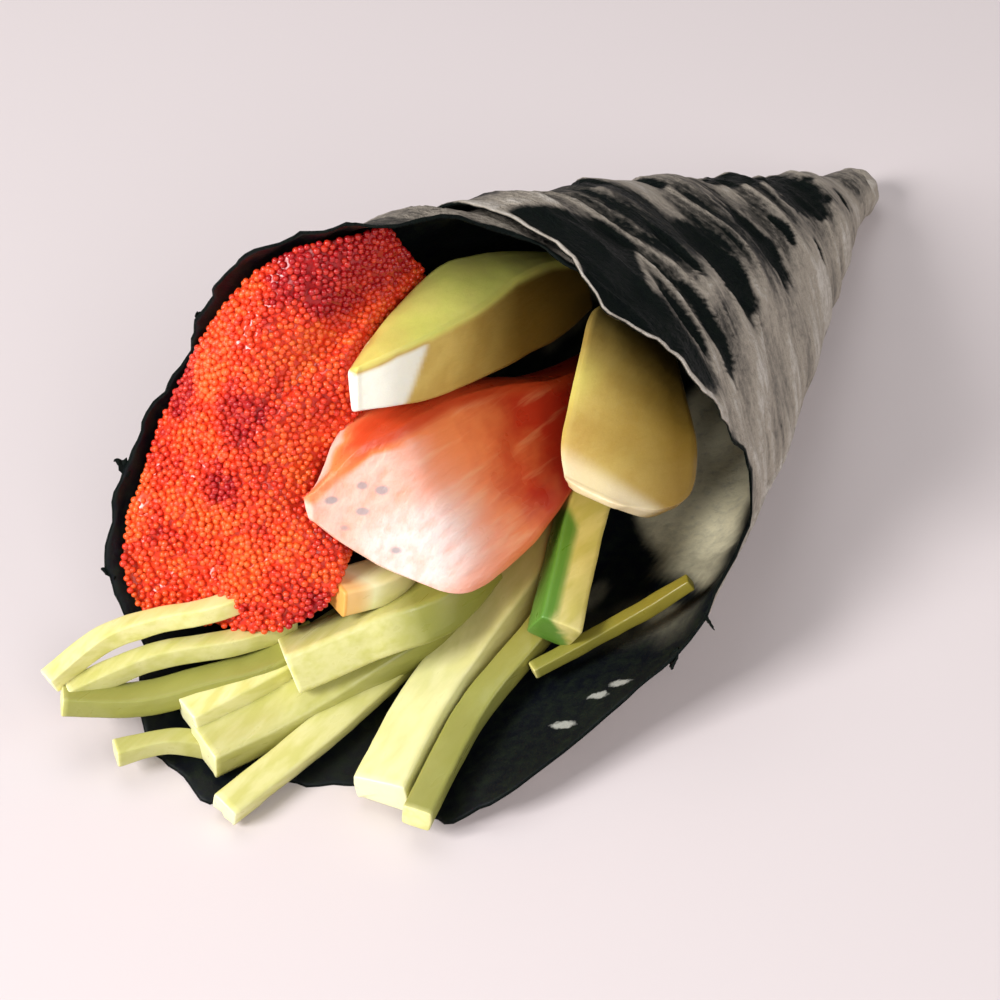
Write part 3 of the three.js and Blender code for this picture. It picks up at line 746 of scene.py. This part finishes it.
SHEET_COLUMNS = 236
SHEET_ROWS = 210
HIDDEN_DROP = 0.35
TEAR_REACH, TEAR_WIDTH = 1.9, 5.0

# Dark hollows of the outer face, sunk in and left without painted sheen: along, degrees round the roll,
# half length of each
HOLLOWS = (
    (55.0, 121.0, 3.4, 23.0), (42.0, 122.0, 2.4, 25.0), (71.6, 131.0, 1.3, 12.0), (67.0, 138.0, 1.2, 16.0),
    (62.5, 108.0, 1.1, 12.0), (34.9, 118.0, 0.9, 10.0), (28.6, 144.0, 0.8, 9.0), (22.0, 94.0, 5.5, 32.0),
    (29.0, 72.0, 7.0, 13.0), (59.5, 60.0, 2.4, 15.0), (48.0, 66.0, 1.5, 12.0), (72.0, 60.0, 1.7, 16.0),
    (13.0, 126.0, 0.8, 14.0),
)
# Painted reflections: faint grey patches of light on the inner face, in the same terms
REFLECTION_PATCHES = ((74.0, 242.0, 2.4, 3.2), (80.5, 249.0, 2.0, 3.0))
# Painted glints: small bright marks of light near the rim of the inner face: along, degrees round the roll
GLINTS = ((87.9, 218.5), (89.6, 223.0), (93.7, 228.0))
GLINT_SIZE = (0.5, 1.25, 1.25)


def crinkles(along, arc):
    """Ridges across the sheet, from 0 in the valleys to 1 on the crests"""
    warped = along + 4.0 * (sheet_noise(along, arc, (9.0, 10.0), 3) - 0.5)
    broad = 1.0 - np.abs(2.0 * sheet_noise(warped, arc, (3.4, 17.0), 4) - 1.0)
    fine = 1.0 - np.abs(2.0 * sheet_noise(warped, arc, (1.7, 8.0), 5) - 1.0)
    return broad ** 2.2 * 0.75 + fine ** 3.0 * 0.25


def spots(marks, first, second, wave=0.0, ragged=0.0):
    """Largest of soft round marks at each place, from 0 to 1"""
    total = np.zeros_like(first)
    for at, other, reach, spread in marks:
        distance = np.hypot((first + 0.3 * wave - at) / reach, (second + wave - other) / spread)
        distance = distance + ragged
        total = np.maximum(total, 1.0 - smooth(distance, 0.5, 1.3))
    return total


def outer_tone(along, angle, wind, ridge, rim):
    """Painted sheen of the outer face, most on crests and on the side, and how dark its hollows are"""
    degrees = np.degrees(angle) % 360.0
    wave = 3.0 * (sheet_noise(along, degrees, (6.0, 12.0), 12) - 0.5)
    behind_edge = rim - along
    flap = smooth(wind, 262.0, 275.0) * (1.0 - smooth(wind, 400.0, 425.0))
    width = 13.0 - 8.5 * smooth(degrees, 100.0, 140.0)
    near_edge = 1.0 - smooth(behind_edge + wave, width - 1.8, width + 1.8)
    near_edge = near_edge * (1.0 - smooth(degrees, 136.0, 156.0))
    # Where the top of the flap carries a pale band of painted light
    top = 1.0 - smooth(degrees + 0.6 * wave - 0.8 * np.clip(78.0 - along, 0.0, 12.0), 76.0, 83.0)
    # No painted sheen on a band behind the flap's edge, nor in the hollows
    band = flap * smooth(behind_edge, 0.4, 1.4) * near_edge * (1.0 - top)
    ragged = 0.9 * (sheet_noise(along, degrees, (2.2, 9.0), 18, 3) - 0.5)
    dark = np.maximum(band, spots(HOLLOWS, along, degrees, 1.2 * wave, ragged))
    edge = 1.0 - smooth(behind_edge, 0.25, 0.9)
    # Painted reflection: paler over the side of the roll
    side = smooth(degrees, 120.0, 160.0) * (1.0 - smooth(degrees, 300.0, 357.0))
    # Painted sheen along the crests of the ridges
    lines = 0.8 * (ridge - 0.40) * (1.0 - 0.4 * side) * (1.0 - dark) ** 2 * smooth(along, 3.0, 9.0)
    # Painted highlight along the flap's edge; the rest of the rim is darker
    torn = 1.4 * flap * (1.0 - smooth(degrees, 150.0, 170.0)) - 0.8
    tone = 0.56 + 0.24 * side + lines - 0.9 * dark + edge * torn
    # A pale band of painted light along the top of the flap
    tone += 0.25 * top * flap * smooth(along, 60.0, 70.0)
    return np.clip(tone, 0.0, 1.0), dark


def inner_tone(along, angle):
    """Paleness of the inner face: a painted sheen low on the near wall, and faint grey patches of painted
    reflection
    """
    degrees = np.degrees(angle) % 360.0
    wave = 3.0 * (sheet_noise(along, degrees, (7.0, 9.0), 13) - 0.5)
    border = 61.0 + (246.0 - degrees) * 0.33 + wave
    sheen = smooth(degrees, 202.0, 210.0) * (1.0 - smooth(degrees, 258.0, 268.0))
    sheen = sheen * (1.0 - smooth(along, border - 1.5, border + 1.5))
    mottle = smooth(sheet_noise(along, degrees, (6.0, 14.0), 15, 2), 0.5, 0.75)
    low = 0.16 * mottle * smooth(degrees, 200.0, 215.0) * (1.0 - smooth(along, 76.0, 84.0))
    sheen = sheen * (1.0 - 0.6 * smooth(along, 59.0, 71.0))
    return np.clip(np.maximum(sheen, low) + 0.13 * spots(REFLECTION_PATCHES, along, degrees, wave), 0.0, 1.0)


def nori_sheet(sizes, colours):
    wind = np.linspace(RIM[0][0], RIM[-1][0], SHEET_COLUMNS)[:, None]
    share = np.linspace(0.0, 1.0, SHEET_ROWS)[None, :]
    tear = TEAR_REACH * (sheet_noise(wind, 0.0 * wind, (TEAR_WIDTH, 1.0), 8, 5) - 0.5)
    rim = rim_reach(wind) + tear
    along = rim * share
    wind = wind + 0.0 * along
    angle = np.radians(WIND_START - wind)
    middle = sheet_radius(along, angle, wind)
    ridge = crinkles(along, angle * (cone_radius(along) + 4.0))
    calm = smooth(wind, 130.0, 165.0) * (1.0 - smooth(wind, 250.0, 285.0))
    crinkled = smooth(along, 3.0, 20.0) * (1.0 - calm)
    outer, hollow = outer_tone(along, angle, wind, ridge, rim)
    flap_rim = rim_reach(np.minimum(wind + 360.0, RIM[-1][0]))
    hidden = (1.0 - smooth(wind, 92.0, 104.0)) * (1.0 - smooth(along, flap_rim - 1.0, flap_rim + 1.5))
    relief = sizes.crinkle / MM * (ridge - 0.3 - 0.8 * hollow) * crinkled * (1.0 - hidden)
    relief = relief - HIDDEN_DROP * hidden
    half = sizes.sheet / MM / 2.0
    layers = []
    for outward in (1.0, -1.0):
        radius = middle + relief + outward * half
        lowest = floor_up(along) + (0.0 if outward > 0 else 2.0 * half)
        up = np.maximum(radius * np.sin(angle), lowest)
        layers.append(np.stack([along, radius * np.cos(angle), up], axis=-1).reshape(-1, 3))
    points = np.concatenate(layers)
    quads = grid_quads(SHEET_COLUMNS, SHEET_ROWS, False)
    inside = SHEET_COLUMNS * SHEET_ROWS
    ring = np.concatenate([
        np.arange(SHEET_ROWS), (np.arange(1, SHEET_COLUMNS)) * SHEET_ROWS + SHEET_ROWS - 1,
        (SHEET_COLUMNS - 1) * SHEET_ROWS + np.arange(SHEET_ROWS - 2, -1, -1),
        np.arange(SHEET_COLUMNS - 2, 0, -1) * SHEET_ROWS])
    following = np.roll(ring, -1)
    border = np.stack([ring, following, following + inside, ring + inside], axis=-1)
    faces = np.concatenate([quads, quads + inside, border])
    tones = np.concatenate([outer.ravel(), inner_tone(along, angle).ravel()])
    slots = np.concatenate([np.zeros(len(quads)), np.ones(len(quads)), np.zeros(len(border))])
    materials = [nori_material(colours), nori_inner_material(colours)]
    return make_piece("nori_sheet", points, faces.tolist(), tones, materials, slots)


TIP_RINGS, TIP_POINTS = 26, 48
TIP_PLEATS, PLEAT_DEPTH = 9.0, 0.03


def nori_tip(material):
    """Pinched closed end of the roll"""
    polar = np.linspace(0.04, math.pi - 0.04, TIP_RINGS)[:, None]
    turn = np.linspace(0.0, 2.0 * math.pi, TIP_POINTS, endpoint=False)[None, :]
    pleat = 1.0 + PLEAT_DEPTH * np.sin(TIP_PLEATS * turn + 2.0 * np.cos(polar)) * np.sin(polar)
    along = PLUG_AT + PLUG_LENGTH * np.cos(polar) + 0.0 * turn
    side = PLUG_RADIUS * np.sin(polar) * pleat * np.cos(turn)
    up = np.maximum(PLUG_RADIUS * np.sin(polar) * pleat * np.sin(turn), floor_up(along))
    points, faces = capped_skin(np.stack([along, side, up], axis=-1))
    # The tip is pale with painted sheen all over
    tones = 0.7 + 0.3 * value_noise(points * 0.8, 2)
    return make_piece("nori_tip", points, faces, tones, [material])


# Torn flakes at the rim: winding angle, distance behind the rim, length, width, lean aside, lean up
FLAKES = (
    (131.0, 0.9, 1.9, 2.0, 0.9, 0.3), (97.0, 0.9, 1.8, 2.2, 0.4, 0.5), (281.0, 0.4, 2.8, 0.45, -0.9, 0.1),
    (273.0, 1.0, 1.9, 2.2, -0.5, -0.3), (150.0, 0.8, 1.5, 1.6, 0.5, 0.1),
)
FLAKE_STEPS = 11
FLAKE_HALF, FLAKE_BEVEL, FLAKE_SHAKE = 0.1, 0.08, 0.06


def nori_flakes(material):
    """Small scraps that stand off the torn rim"""
    random = np.random.default_rng(5)
    points, faces, tones = [], [], []
    for wind, behind, length, width, aside, rise in FLAKES:
        angle = math.radians(WIND_START - wind)
        along = float(rim_reach(wind)) - behind
        radius = float(sheet_radius(np.array(along), np.array(angle), wind))
        base = np.array([along, radius * math.cos(angle), radius * math.sin(angle)])
        lean = np.array([0.7, aside, rise])
        lean /= np.linalg.norm(lean)
        across = np.cross(lean, [0.0, math.cos(angle), math.sin(angle)])
        across /= np.linalg.norm(across)
        normal = np.cross(across, lean)
        rings = []
        for step in np.linspace(0.0, 1.0, FLAKE_STEPS):
            centre = base + lean * length * step + normal * random.uniform(-FLAKE_SHAKE, FLAKE_SHAKE)
            curl = 0.25 * step ** 2 + random.uniform(-FLAKE_SHAKE, FLAKE_SHAKE)
            centre = centre + across * width * curl
            half = width / 2.0 * (1.0 - 0.85 * step ** 1.5) * random.uniform(0.7, 1.15)
            rings.append([centre + across * half * i + normal * FLAKE_HALF * j for i, j in CORNERS])
        rings = np.array(rings)
        rings[..., 2] = np.maximum(rings[..., 2], floor_up(rings[..., 0]) + FLAKE_HALF)
        skin, quads = closed_loft(densify(rings, 2), FLAKE_BEVEL)
        start = sum(len(part) for part in points)
        points.append(skin)
        faces += [[start + index for index in face] for face in quads]
        tones.append(np.full(len(skin), random.uniform(0.05, 0.3)))
    return make_piece("nori_flakes", np.concatenate(points), faces, np.concatenate(tones), [material])


# Tobiko

CORE_RINGS, CORE_DEPTH_STEPS = 64, 12
CORE_RELIEF, CORE_GRAIN, CORE_DROP = 0.5, 0.55, 0.12
EGG_TRIES = 36000
EGG_SHIFT, EGG_SCALE, EGG_TONE = (-0.14, 0.26), (0.84, 1.12), (-0.25, 0.25)


def heap_front(out, turn):
    """Front surface of the heap; out runs from its middle to its edge, turn goes round"""
    edge = catmull(HEAP_EDGE, turn, closed=True)
    middle = np.array(HEAP_MIDDLE)
    edge[:, 0] += (1.0 - out) * (HEAP_MIDDLE[0] - edge[:, 0])
    points = middle + (edge - middle) * out[:, None]
    lump = np.sin(points[:, 1] / LUMP_WIDTH * 2.0 + 1.0) * np.sin(points[:, 2] / LUMP_WIDTH * 2.0)
    mound = 2.2 * (layered_noise(points / 5.0, 21, 2) - 0.5)
    points[:, 0] += HEAP_DOME * (1.0 - out ** 2) - (0.5 * LUMP_HEIGHT * lump - mound) * (1.0 - out ** 6)
    return points


def heap_side(edge, depth):
    """Edge points moved back into the roll, drawn in towards the heap's middle"""
    along = edge[:, 0] - HEAP_DEPTH * depth
    scale = (cone_radius(along) / cone_radius(edge[:, 0]))[:, None]
    target = np.concatenate([along[:, None], edge[:, 1:] * scale], axis=1)
    middle = np.concatenate([along[:, None], np.array(HEAP_MIDDLE)[None, 1:] * scale], axis=1)
    return target + (middle - target) * HEAP_TAPER * np.asarray(depth).reshape(-1, 1)


def heap_core(material):
    """Lumpy mass under the loose eggs, with relief of egg size"""
    count = 6 * CORE_RINGS
    turn = np.arange(count) / count
    rings = []
    for k in range(CORE_RINGS + 1):
        rings.append(heap_front(np.full(count, k / CORE_RINGS), turn))
    for k in range(1, CORE_DEPTH_STEPS + 1):
        rings.append(heap_side(rings[CORE_RINGS], np.full(count, k / CORE_DEPTH_STEPS)))
    rings = np.array(rings[1:])
    rings[..., 0] += CORE_RELIEF * (value_noise(rings / CORE_GRAIN, 31) - 0.5) - CORE_DROP
    points, faces = capped_skin(keep_inside(rings))
    # The core is darker than the eggs: painted shade in the gaps between them
    return make_piece("tobiko_core", points, faces, roe_tone(points) * 0.7, [material])


# Redder places of the heap, partly the roe's own colour and partly painted shade between its lumps, and
# more orange places painted as highlights: side, up, half sizes
CRIMSON = (
    (17.5, 6.0, 3.2, 4.0), (18.5, -2.0, 3.0, 2.2), (26.5, 3.5, 1.8, 3.6), (9.0, -13.0, 3.2, 4.2),
    (6.5, 6.5, 3.0, 3.0),
)
ORANGE = (
    (23.0, 10.0, 3.5, 5.0), (19.5, -6.5, 4.5, 2.6), (28.0, -9.0, 3.0, 3.0), (14.0, -11.0, 3.0, 3.5),
    (9.5, 12.0, 2.0, 6.0),
)


def roe_tone(points):
    """Orange at 1, crimson at 0, with painted shade and painted highlights"""
    points = np.asarray(points, float)
    side, up = points[..., 1], points[..., 2]
    wave = 4.0 * (layered_noise(points / 3.0, 43, 2) - 0.5)
    patches = layered_noise(points / 3.4, 41, 3)
    # Redder high in the heap, partly the roe's own colour and partly painted shade under the top of the
    # sheet
    top = smooth(up, 14.0, 20.0) * (1.0 - smooth(side, 16.0, 21.0))
    tone = 0.60 + 1.3 * (patches - 0.5) - 0.85 * top
    # Painted highlights in the orange places; the red places add painted shade
    tone += 0.25 * spots(ORANGE, side, up, wave) - 0.46 * spots(CRIMSON, side, up, wave)
    return np.clip(tone, 0.0, 1.0)


def spread_eggs(sizes):
    """Egg centres over the front and the near sides of the heap, no two too close"""
    random = np.random.default_rng(17)
    turn = random.random(EGG_TRIES)
    front = heap_front(np.sqrt(random.random(EGG_TRIES)), turn)
    quarter = EGG_TRIES // 4
    edge = heap_front(np.ones(quarter), turn[:quarter])
    sides = heap_side(edge, random.random(quarter) ** 1.3)
    candidates = keep_inside(np.concatenate([front, sides]))
    candidates = candidates[random.permutation(len(candidates))].tolist()
    spacing = sizes.egg_spacing / MM
    cells = {}
    chosen = []
    for x, y, z in candidates:
        i, j, k = int(x // spacing), int(y // spacing), int(z // spacing)
        near = (other for a, b, c in itertools.product((-1, 0, 1), repeat=3)
                for other in cells.get((i + a, j + b, k + c), ()))
        if any((x - u) ** 2 + (y - v) ** 2 + (z - w) ** 2 < spacing ** 2 for u, v, w in near):
            continue
        cells.setdefault((i, j, k), []).append((x, y, z))
        chosen.append((x, y, z))
        if len(chosen) >= sizes.egg_limit:
            break
    return np.array(chosen), random


def egg_mesh(radius):
    edit = bmesh.new()
    bmesh.ops.create_icosphere(edit, subdivisions=2, radius=radius)
    points = np.array([vert.co[:] for vert in edit.verts])
    faces = np.array([[vert.index for vert in face.verts] for face in edit.faces])
    edit.free()
    return points, faces


def tobiko_eggs(sizes, material):
    """Loose eggs in two pieces, the orange ones and the red ones"""
    centres, random = spread_eggs(sizes)
    unit, faces = egg_mesh(sizes.egg / MM / 2.0)
    centres[:, 0] += random.uniform(*EGG_SHIFT, len(centres))
    scale = random.uniform(*EGG_SCALE, (len(centres), 1, 1))
    tone = np.clip(roe_tone(centres) + random.uniform(*EGG_TONE, len(centres)), 0.0, 1.0)
    middle = np.median(tone)
    pieces = []
    for name, chosen in (("tobiko_orange_eggs", tone >= middle), ("tobiko_red_eggs", tone < middle)):
        points = (centres[chosen][:, None] + unit[None] * scale[chosen]).reshape(-1, 3)
        joined = faces[None] + (np.arange(chosen.sum()) * len(unit))[:, None, None]
        tones = np.repeat(tone[chosen], len(unit))
        pieces.append(make_piece(name, points, joined.reshape(-1, 3).tolist(), tones, [material]))
    return pieces


# Fillings

# Grey flecks on the salmon's front, as along, side, up
FLECKS = (
    (102.9, 6.9, -0.6), (102.4, 7.3, -2.4), (101.6, 5.6, -3.6), (100.4, 4.0, -5.0), (101.0, 5.0, 1.0),
    (99.2, 3.6, 0.6), (99.8, 0.6, -5.4), (101.2, 4.4, -1.6),
)
FLECK_SIZE = (0.9, 0.5, 0.4)
# Middle and reach of the painted highlight on the lower front, in the same terms
HIGHLIGHT_SPOT, HIGHLIGHT_REACH = (98.0, -1.0, -5.0), (6.5, 8.0, 5.0)


def salmon_tone(points):
    """Painted highlight, most on the lower front; below 0 the painted shade along the top"""
    highlight = 1.45 * np.exp(-np.sum(((points - HIGHLIGHT_SPOT) / HIGHLIGHT_REACH) ** 2, axis=1))
    top = edge_line(SALMON, 0, points[:, 0])
    # A weaker painted highlight over the whole front end
    front = 0.62 * smooth(points[:, 0], 91.0, 100.0) * (1.0 - smooth(points[:, 2] - top, -1.6, -0.6))
    tone = np.clip(np.maximum(highlight, front), 0.0, 1.0)
    # Painted shade along the top, under the avocado
    shaded_strip = smooth(points[:, 2] - top, -1.5, -0.4) * (1.0 - smooth(points[:, 0], 99.5, 102.5))
    return tone * (1.0 - shaded_strip) - shaded_strip


def edge_line(sections, corner, along):
    """Height of one long edge of a block at some reach"""
    known = sorted((reach, ring[corner][1]) for reach, ring in sections)
    return np.interp(along, [row[0] for row in known], [row[1] for row in known])


def avocado_top_tone(points):
    top = edge_line(AVOCADO_TOP, 1, points[:, 0])
    face = smooth(points[:, 2] - top, -1.3, -0.4)
    # Painted highlight in cream on the cut end that faces the light
    end = smooth(points[:, 0] + 0.55 * (points[:, 2] - 10.0), 93.2, 94.6) * (1.0 - face)
    return face * (1.0 - 0.35 * smooth(points[:, 0], 90.0, 97.0)) - end


def avocado_side_tone(points):
    green = 0.45 * (1.0 - smooth(-points[:, 1], 5.0, 9.0)) * smooth(points[:, 0], 74.0, 80.0)
    # Painted highlight in cream on the front end
    return green - 0.28 * smooth(points[:, 0], 84.8, 86.8)


def skin_tone(points, route):
    """Skin on the left and lower side of the piece's front half"""
    along, side, up = np.transpose(sorted(route))
    aside = points[:, 1] - np.interp(points[:, 0], along, side)
    above = points[:, 2] - np.interp(points[:, 0], along, up)
    turned = aside - 0.35 * above
    return smooth(turned, -1.3, -0.5) * smooth(points[:, 0] + 0.6 * turned, 78.2, 79.6)


def beyond_end(points, route):
    """Distance of each point past the front end of a stick, along the stick"""
    direction = np.subtract(route[0], route[1])
    return (points - np.array(route[0])) @ (direction / np.linalg.norm(direction))


def stick_tone(node, points, route):
    """Painted shade towards olive below 0, whitish on the cut end, and skin on the green stick"""
    if node == "cucumber_stick_green":
        return skin_tone(points, route)
    beyond = beyond_end(points, route)
    tone = np.minimum(SHADES.get(node, 0.0) + smooth(beyond, -0.1, 0.15), 1.0)
    # Painted shade towards the inner end
    tone = tone - DEEP_SHADES.get(node, 0.0) * smooth(beyond / beyond.min(), 0.35, 0.8)
    # A painted reflection of the roe on the front of the back stick
    if node == "cucumber_stick_back":
        front = route[0][0]
        tone = tone + 1.5 * smooth(points[:, 0], front - 4.0, front)
    return tone


def finish_piece(piece, node):
    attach(piece, "root")
    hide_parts(node)


def cut_block(name, node, sections, stations, wobble, seed, tone_of, material, dome=False):
    """Finished block of salmon or avocado in place of its plain solid"""
    points, faces = block_loft(sections, stations, wobble, seed, dome)
    finish_piece(make_piece(name, points, faces, tone_of(points), [material]), node)


class TemakiOperator:
    bl_options = {"REGISTER", "UNDO"}

    @staticmethod
    def settings(context):
        return context.scene.temaki_sizes, context.scene.temaki_colours


class TEMAKI_OT_nori(TemakiOperator, bpy.types.Operator):
    """Wind the crinkled nori sheet and its pinched tip"""
    bl_idname = "temaki.nori"
    bl_label = "Nori"

    def execute(self, context):
        sizes, colours = self.settings(context)
        sheet = nori_sheet(sizes, colours)
        finish_piece(sheet, "nori_wrap")
        outside = sheet.data.materials[0]
        for piece in (nori_tip(outside), nori_flakes(outside)):
            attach(piece, "root")
        return {"FINISHED"}


class TEMAKI_OT_tobiko(TemakiOperator, bpy.types.Operator):
    """Heap the tobiko: a dense core with loose eggs over it"""
    bl_idname = "temaki.tobiko"
    bl_label = "Tobiko"

    def execute(self, context):
        sizes, colours = self.settings(context)
        material = roe_material(colours)
        finish_piece(heap_core(material), "tobiko_heap")
        for eggs in tobiko_eggs(sizes, material):
            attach(eggs, "root")
        return {"FINISHED"}


class TEMAKI_OT_salmon(TemakiOperator, bpy.types.Operator):
    """Cut the salmon slice"""
    bl_idname = "temaki.salmon"
    bl_label = "Salmon"

    def execute(self, context):
        colours = self.settings(context)[1]
        cut_block("salmon", "salmon_slice", SALMON, 90, 0.22, 51, salmon_tone, salmon_material(colours))
        return {"FINISHED"}


class TEMAKI_OT_avocado(TemakiOperator, bpy.types.Operator):
    """Cut the two avocado slices"""
    bl_idname = "temaki.avocado"
    bl_label = "Avocado"

    def execute(self, context):
        colours = self.settings(context)[1]
        cut_block("avocado_top", "avocado_slice_top", AVOCADO_TOP, 80, 0.12, 61, avocado_top_tone,
                  avocado_material(colours, "avocado top", 0.0, 74.0, 88.0))
        cut_block("avocado_side", "avocado_slice_side", AVOCADO_SIDE, 70, 0.12, 62, avocado_side_tone,
                  avocado_material(colours, "avocado side", 1.3, 55.0, 77.0), dome=True)
        return {"FINISHED"}


class TEMAKI_OT_cucumber(TemakiOperator, bpy.types.Operator):
    """Cut the cucumber sticks, slivers and the thread"""
    bl_idname = "temaki.cucumber"
    bl_label = "Cucumber"

    def execute(self, context):
        colours = self.settings(context)[1]
        flesh = cucumber_material(colours, "cucumber flesh", False)
        skin = cucumber_material(colours, "cucumber with skin", True)
        for number, (node, (width, thickness, turn, route)) in enumerate(STICKS.items()):
            stations = LONG_STATIONS if len(route) > 3 else SHORT_STATIONS
            points, faces = stick_loft(width, thickness, turn, route, stations, STICK_WOBBLE, 70 + number)
            name = node.replace("cucumber_", "cut_")
            material = skin if node == "cucumber_stick_green" else flesh
            piece = make_piece(name, points, faces, stick_tone(node, points, route), [material])
            finish_piece(piece, node)
        return {"FINISHED"}


class TEMAKI_OT_stage(TemakiOperator, bpy.types.Operator):
    """Lay the table and set the lights and the camera"""
    bl_idname = "temaki.stage"
    bl_label = "Stage"

    def execute(self, context):
        colours = self.settings(context)[1]
        table = bpy.data.meshes.new("table")
        corners = [(x * TABLE_REACH, y * TABLE_REACH, 0) for x, y in CORNERS]
        table.from_pydata(corners, [], [(0, 1, 2, 3)])
        table.materials.append(table_material(colours))
        floor = bpy.data.objects.new("table", table)
        context.collection.objects.link(floor)
        for lamp in LAMPS:
            add_light(*lamp)
        world = bpy.data.worlds.new("soft room")
        world.use_nodes = True
        room = world.node_tree.nodes["Background"]
        room.inputs["Color"].default_value = (1.0, 1.0, 1.0, 1.0)
        room.inputs["Strength"].default_value = ROOM_LIGHT
        context.scene.world = world
        context.scene.view_settings.view_transform = "Standard"
        add_camera(context)
        return {"FINISHED"}


def add_light(name, place, size, power):
    lamp = bpy.data.lights.new(name, "AREA")
    lamp.size = size
    lamp.energy = power
    holder = bpy.data.objects.new(name, lamp)
    holder.location = place
    aim = Vector(LAMP_AIM) - Vector(place)
    holder.rotation_euler = aim.to_track_quat("-Z", "Y").to_euler()
    bpy.context.collection.objects.link(holder)


def add_camera(context):
    lens = bpy.data.cameras.new("camera")
    lens.lens = CAMERA_LENS
    lens.sensor_width = SENSOR_WIDTH
    holder = bpy.data.objects.new("camera", lens)
    place = Vector(to_world(CAMERA_AT))
    aim = Vector(to_world(CAMERA_TARGET)) - place
    turn = aim.to_track_quat("-Z", "Y").to_matrix().to_4x4() @ Matrix.Rotation(CAMERA_TURN, 4, "Z")
    holder.matrix_world = Matrix.Translation(place) @ turn
    context.collection.objects.link(holder)
    context.scene.camera = holder


STEPS = ("stage", "nori", "tobiko", "salmon", "avocado", "cucumber")


class TEMAKI_PT_panel(bpy.types.Panel):
    """Steps that build the hand roll"""
    bl_label = "Temaki Hand Roll"
    bl_space_type = "VIEW_3D"
    bl_region_type = "UI"
    bl_category = "Temaki"

    def draw(self, context):
        for step in STEPS:
            self.layout.operator("temaki." + step)
        for group in (context.scene.temaki_sizes, context.scene.temaki_colours):
            for key in group.__annotations__:
                self.layout.prop(group, key)


CLASSES = (
    TemakiSizes, TemakiColours, TEMAKI_OT_stage, TEMAKI_OT_nori, TEMAKI_OT_tobiko, TEMAKI_OT_salmon,
    TEMAKI_OT_avocado, TEMAKI_OT_cucumber, TEMAKI_PT_panel,
)


def register():
    for cls in CLASSES:
        bpy.utils.register_class(cls)
    bpy.types.Scene.temaki_sizes = PointerProperty(type=TemakiSizes)
    bpy.types.Scene.temaki_colours = PointerProperty(type=TemakiColours)


def unregister():
    del bpy.types.Scene.temaki_colours
    del bpy.types.Scene.temaki_sizes
    for cls in reversed(CLASSES):
        bpy.utils.unregister_class(cls)


def main():
    register()
    for step in STEPS:
        getattr(bpy.ops.temaki, step)()


if __name__ == "__main__":
    main()
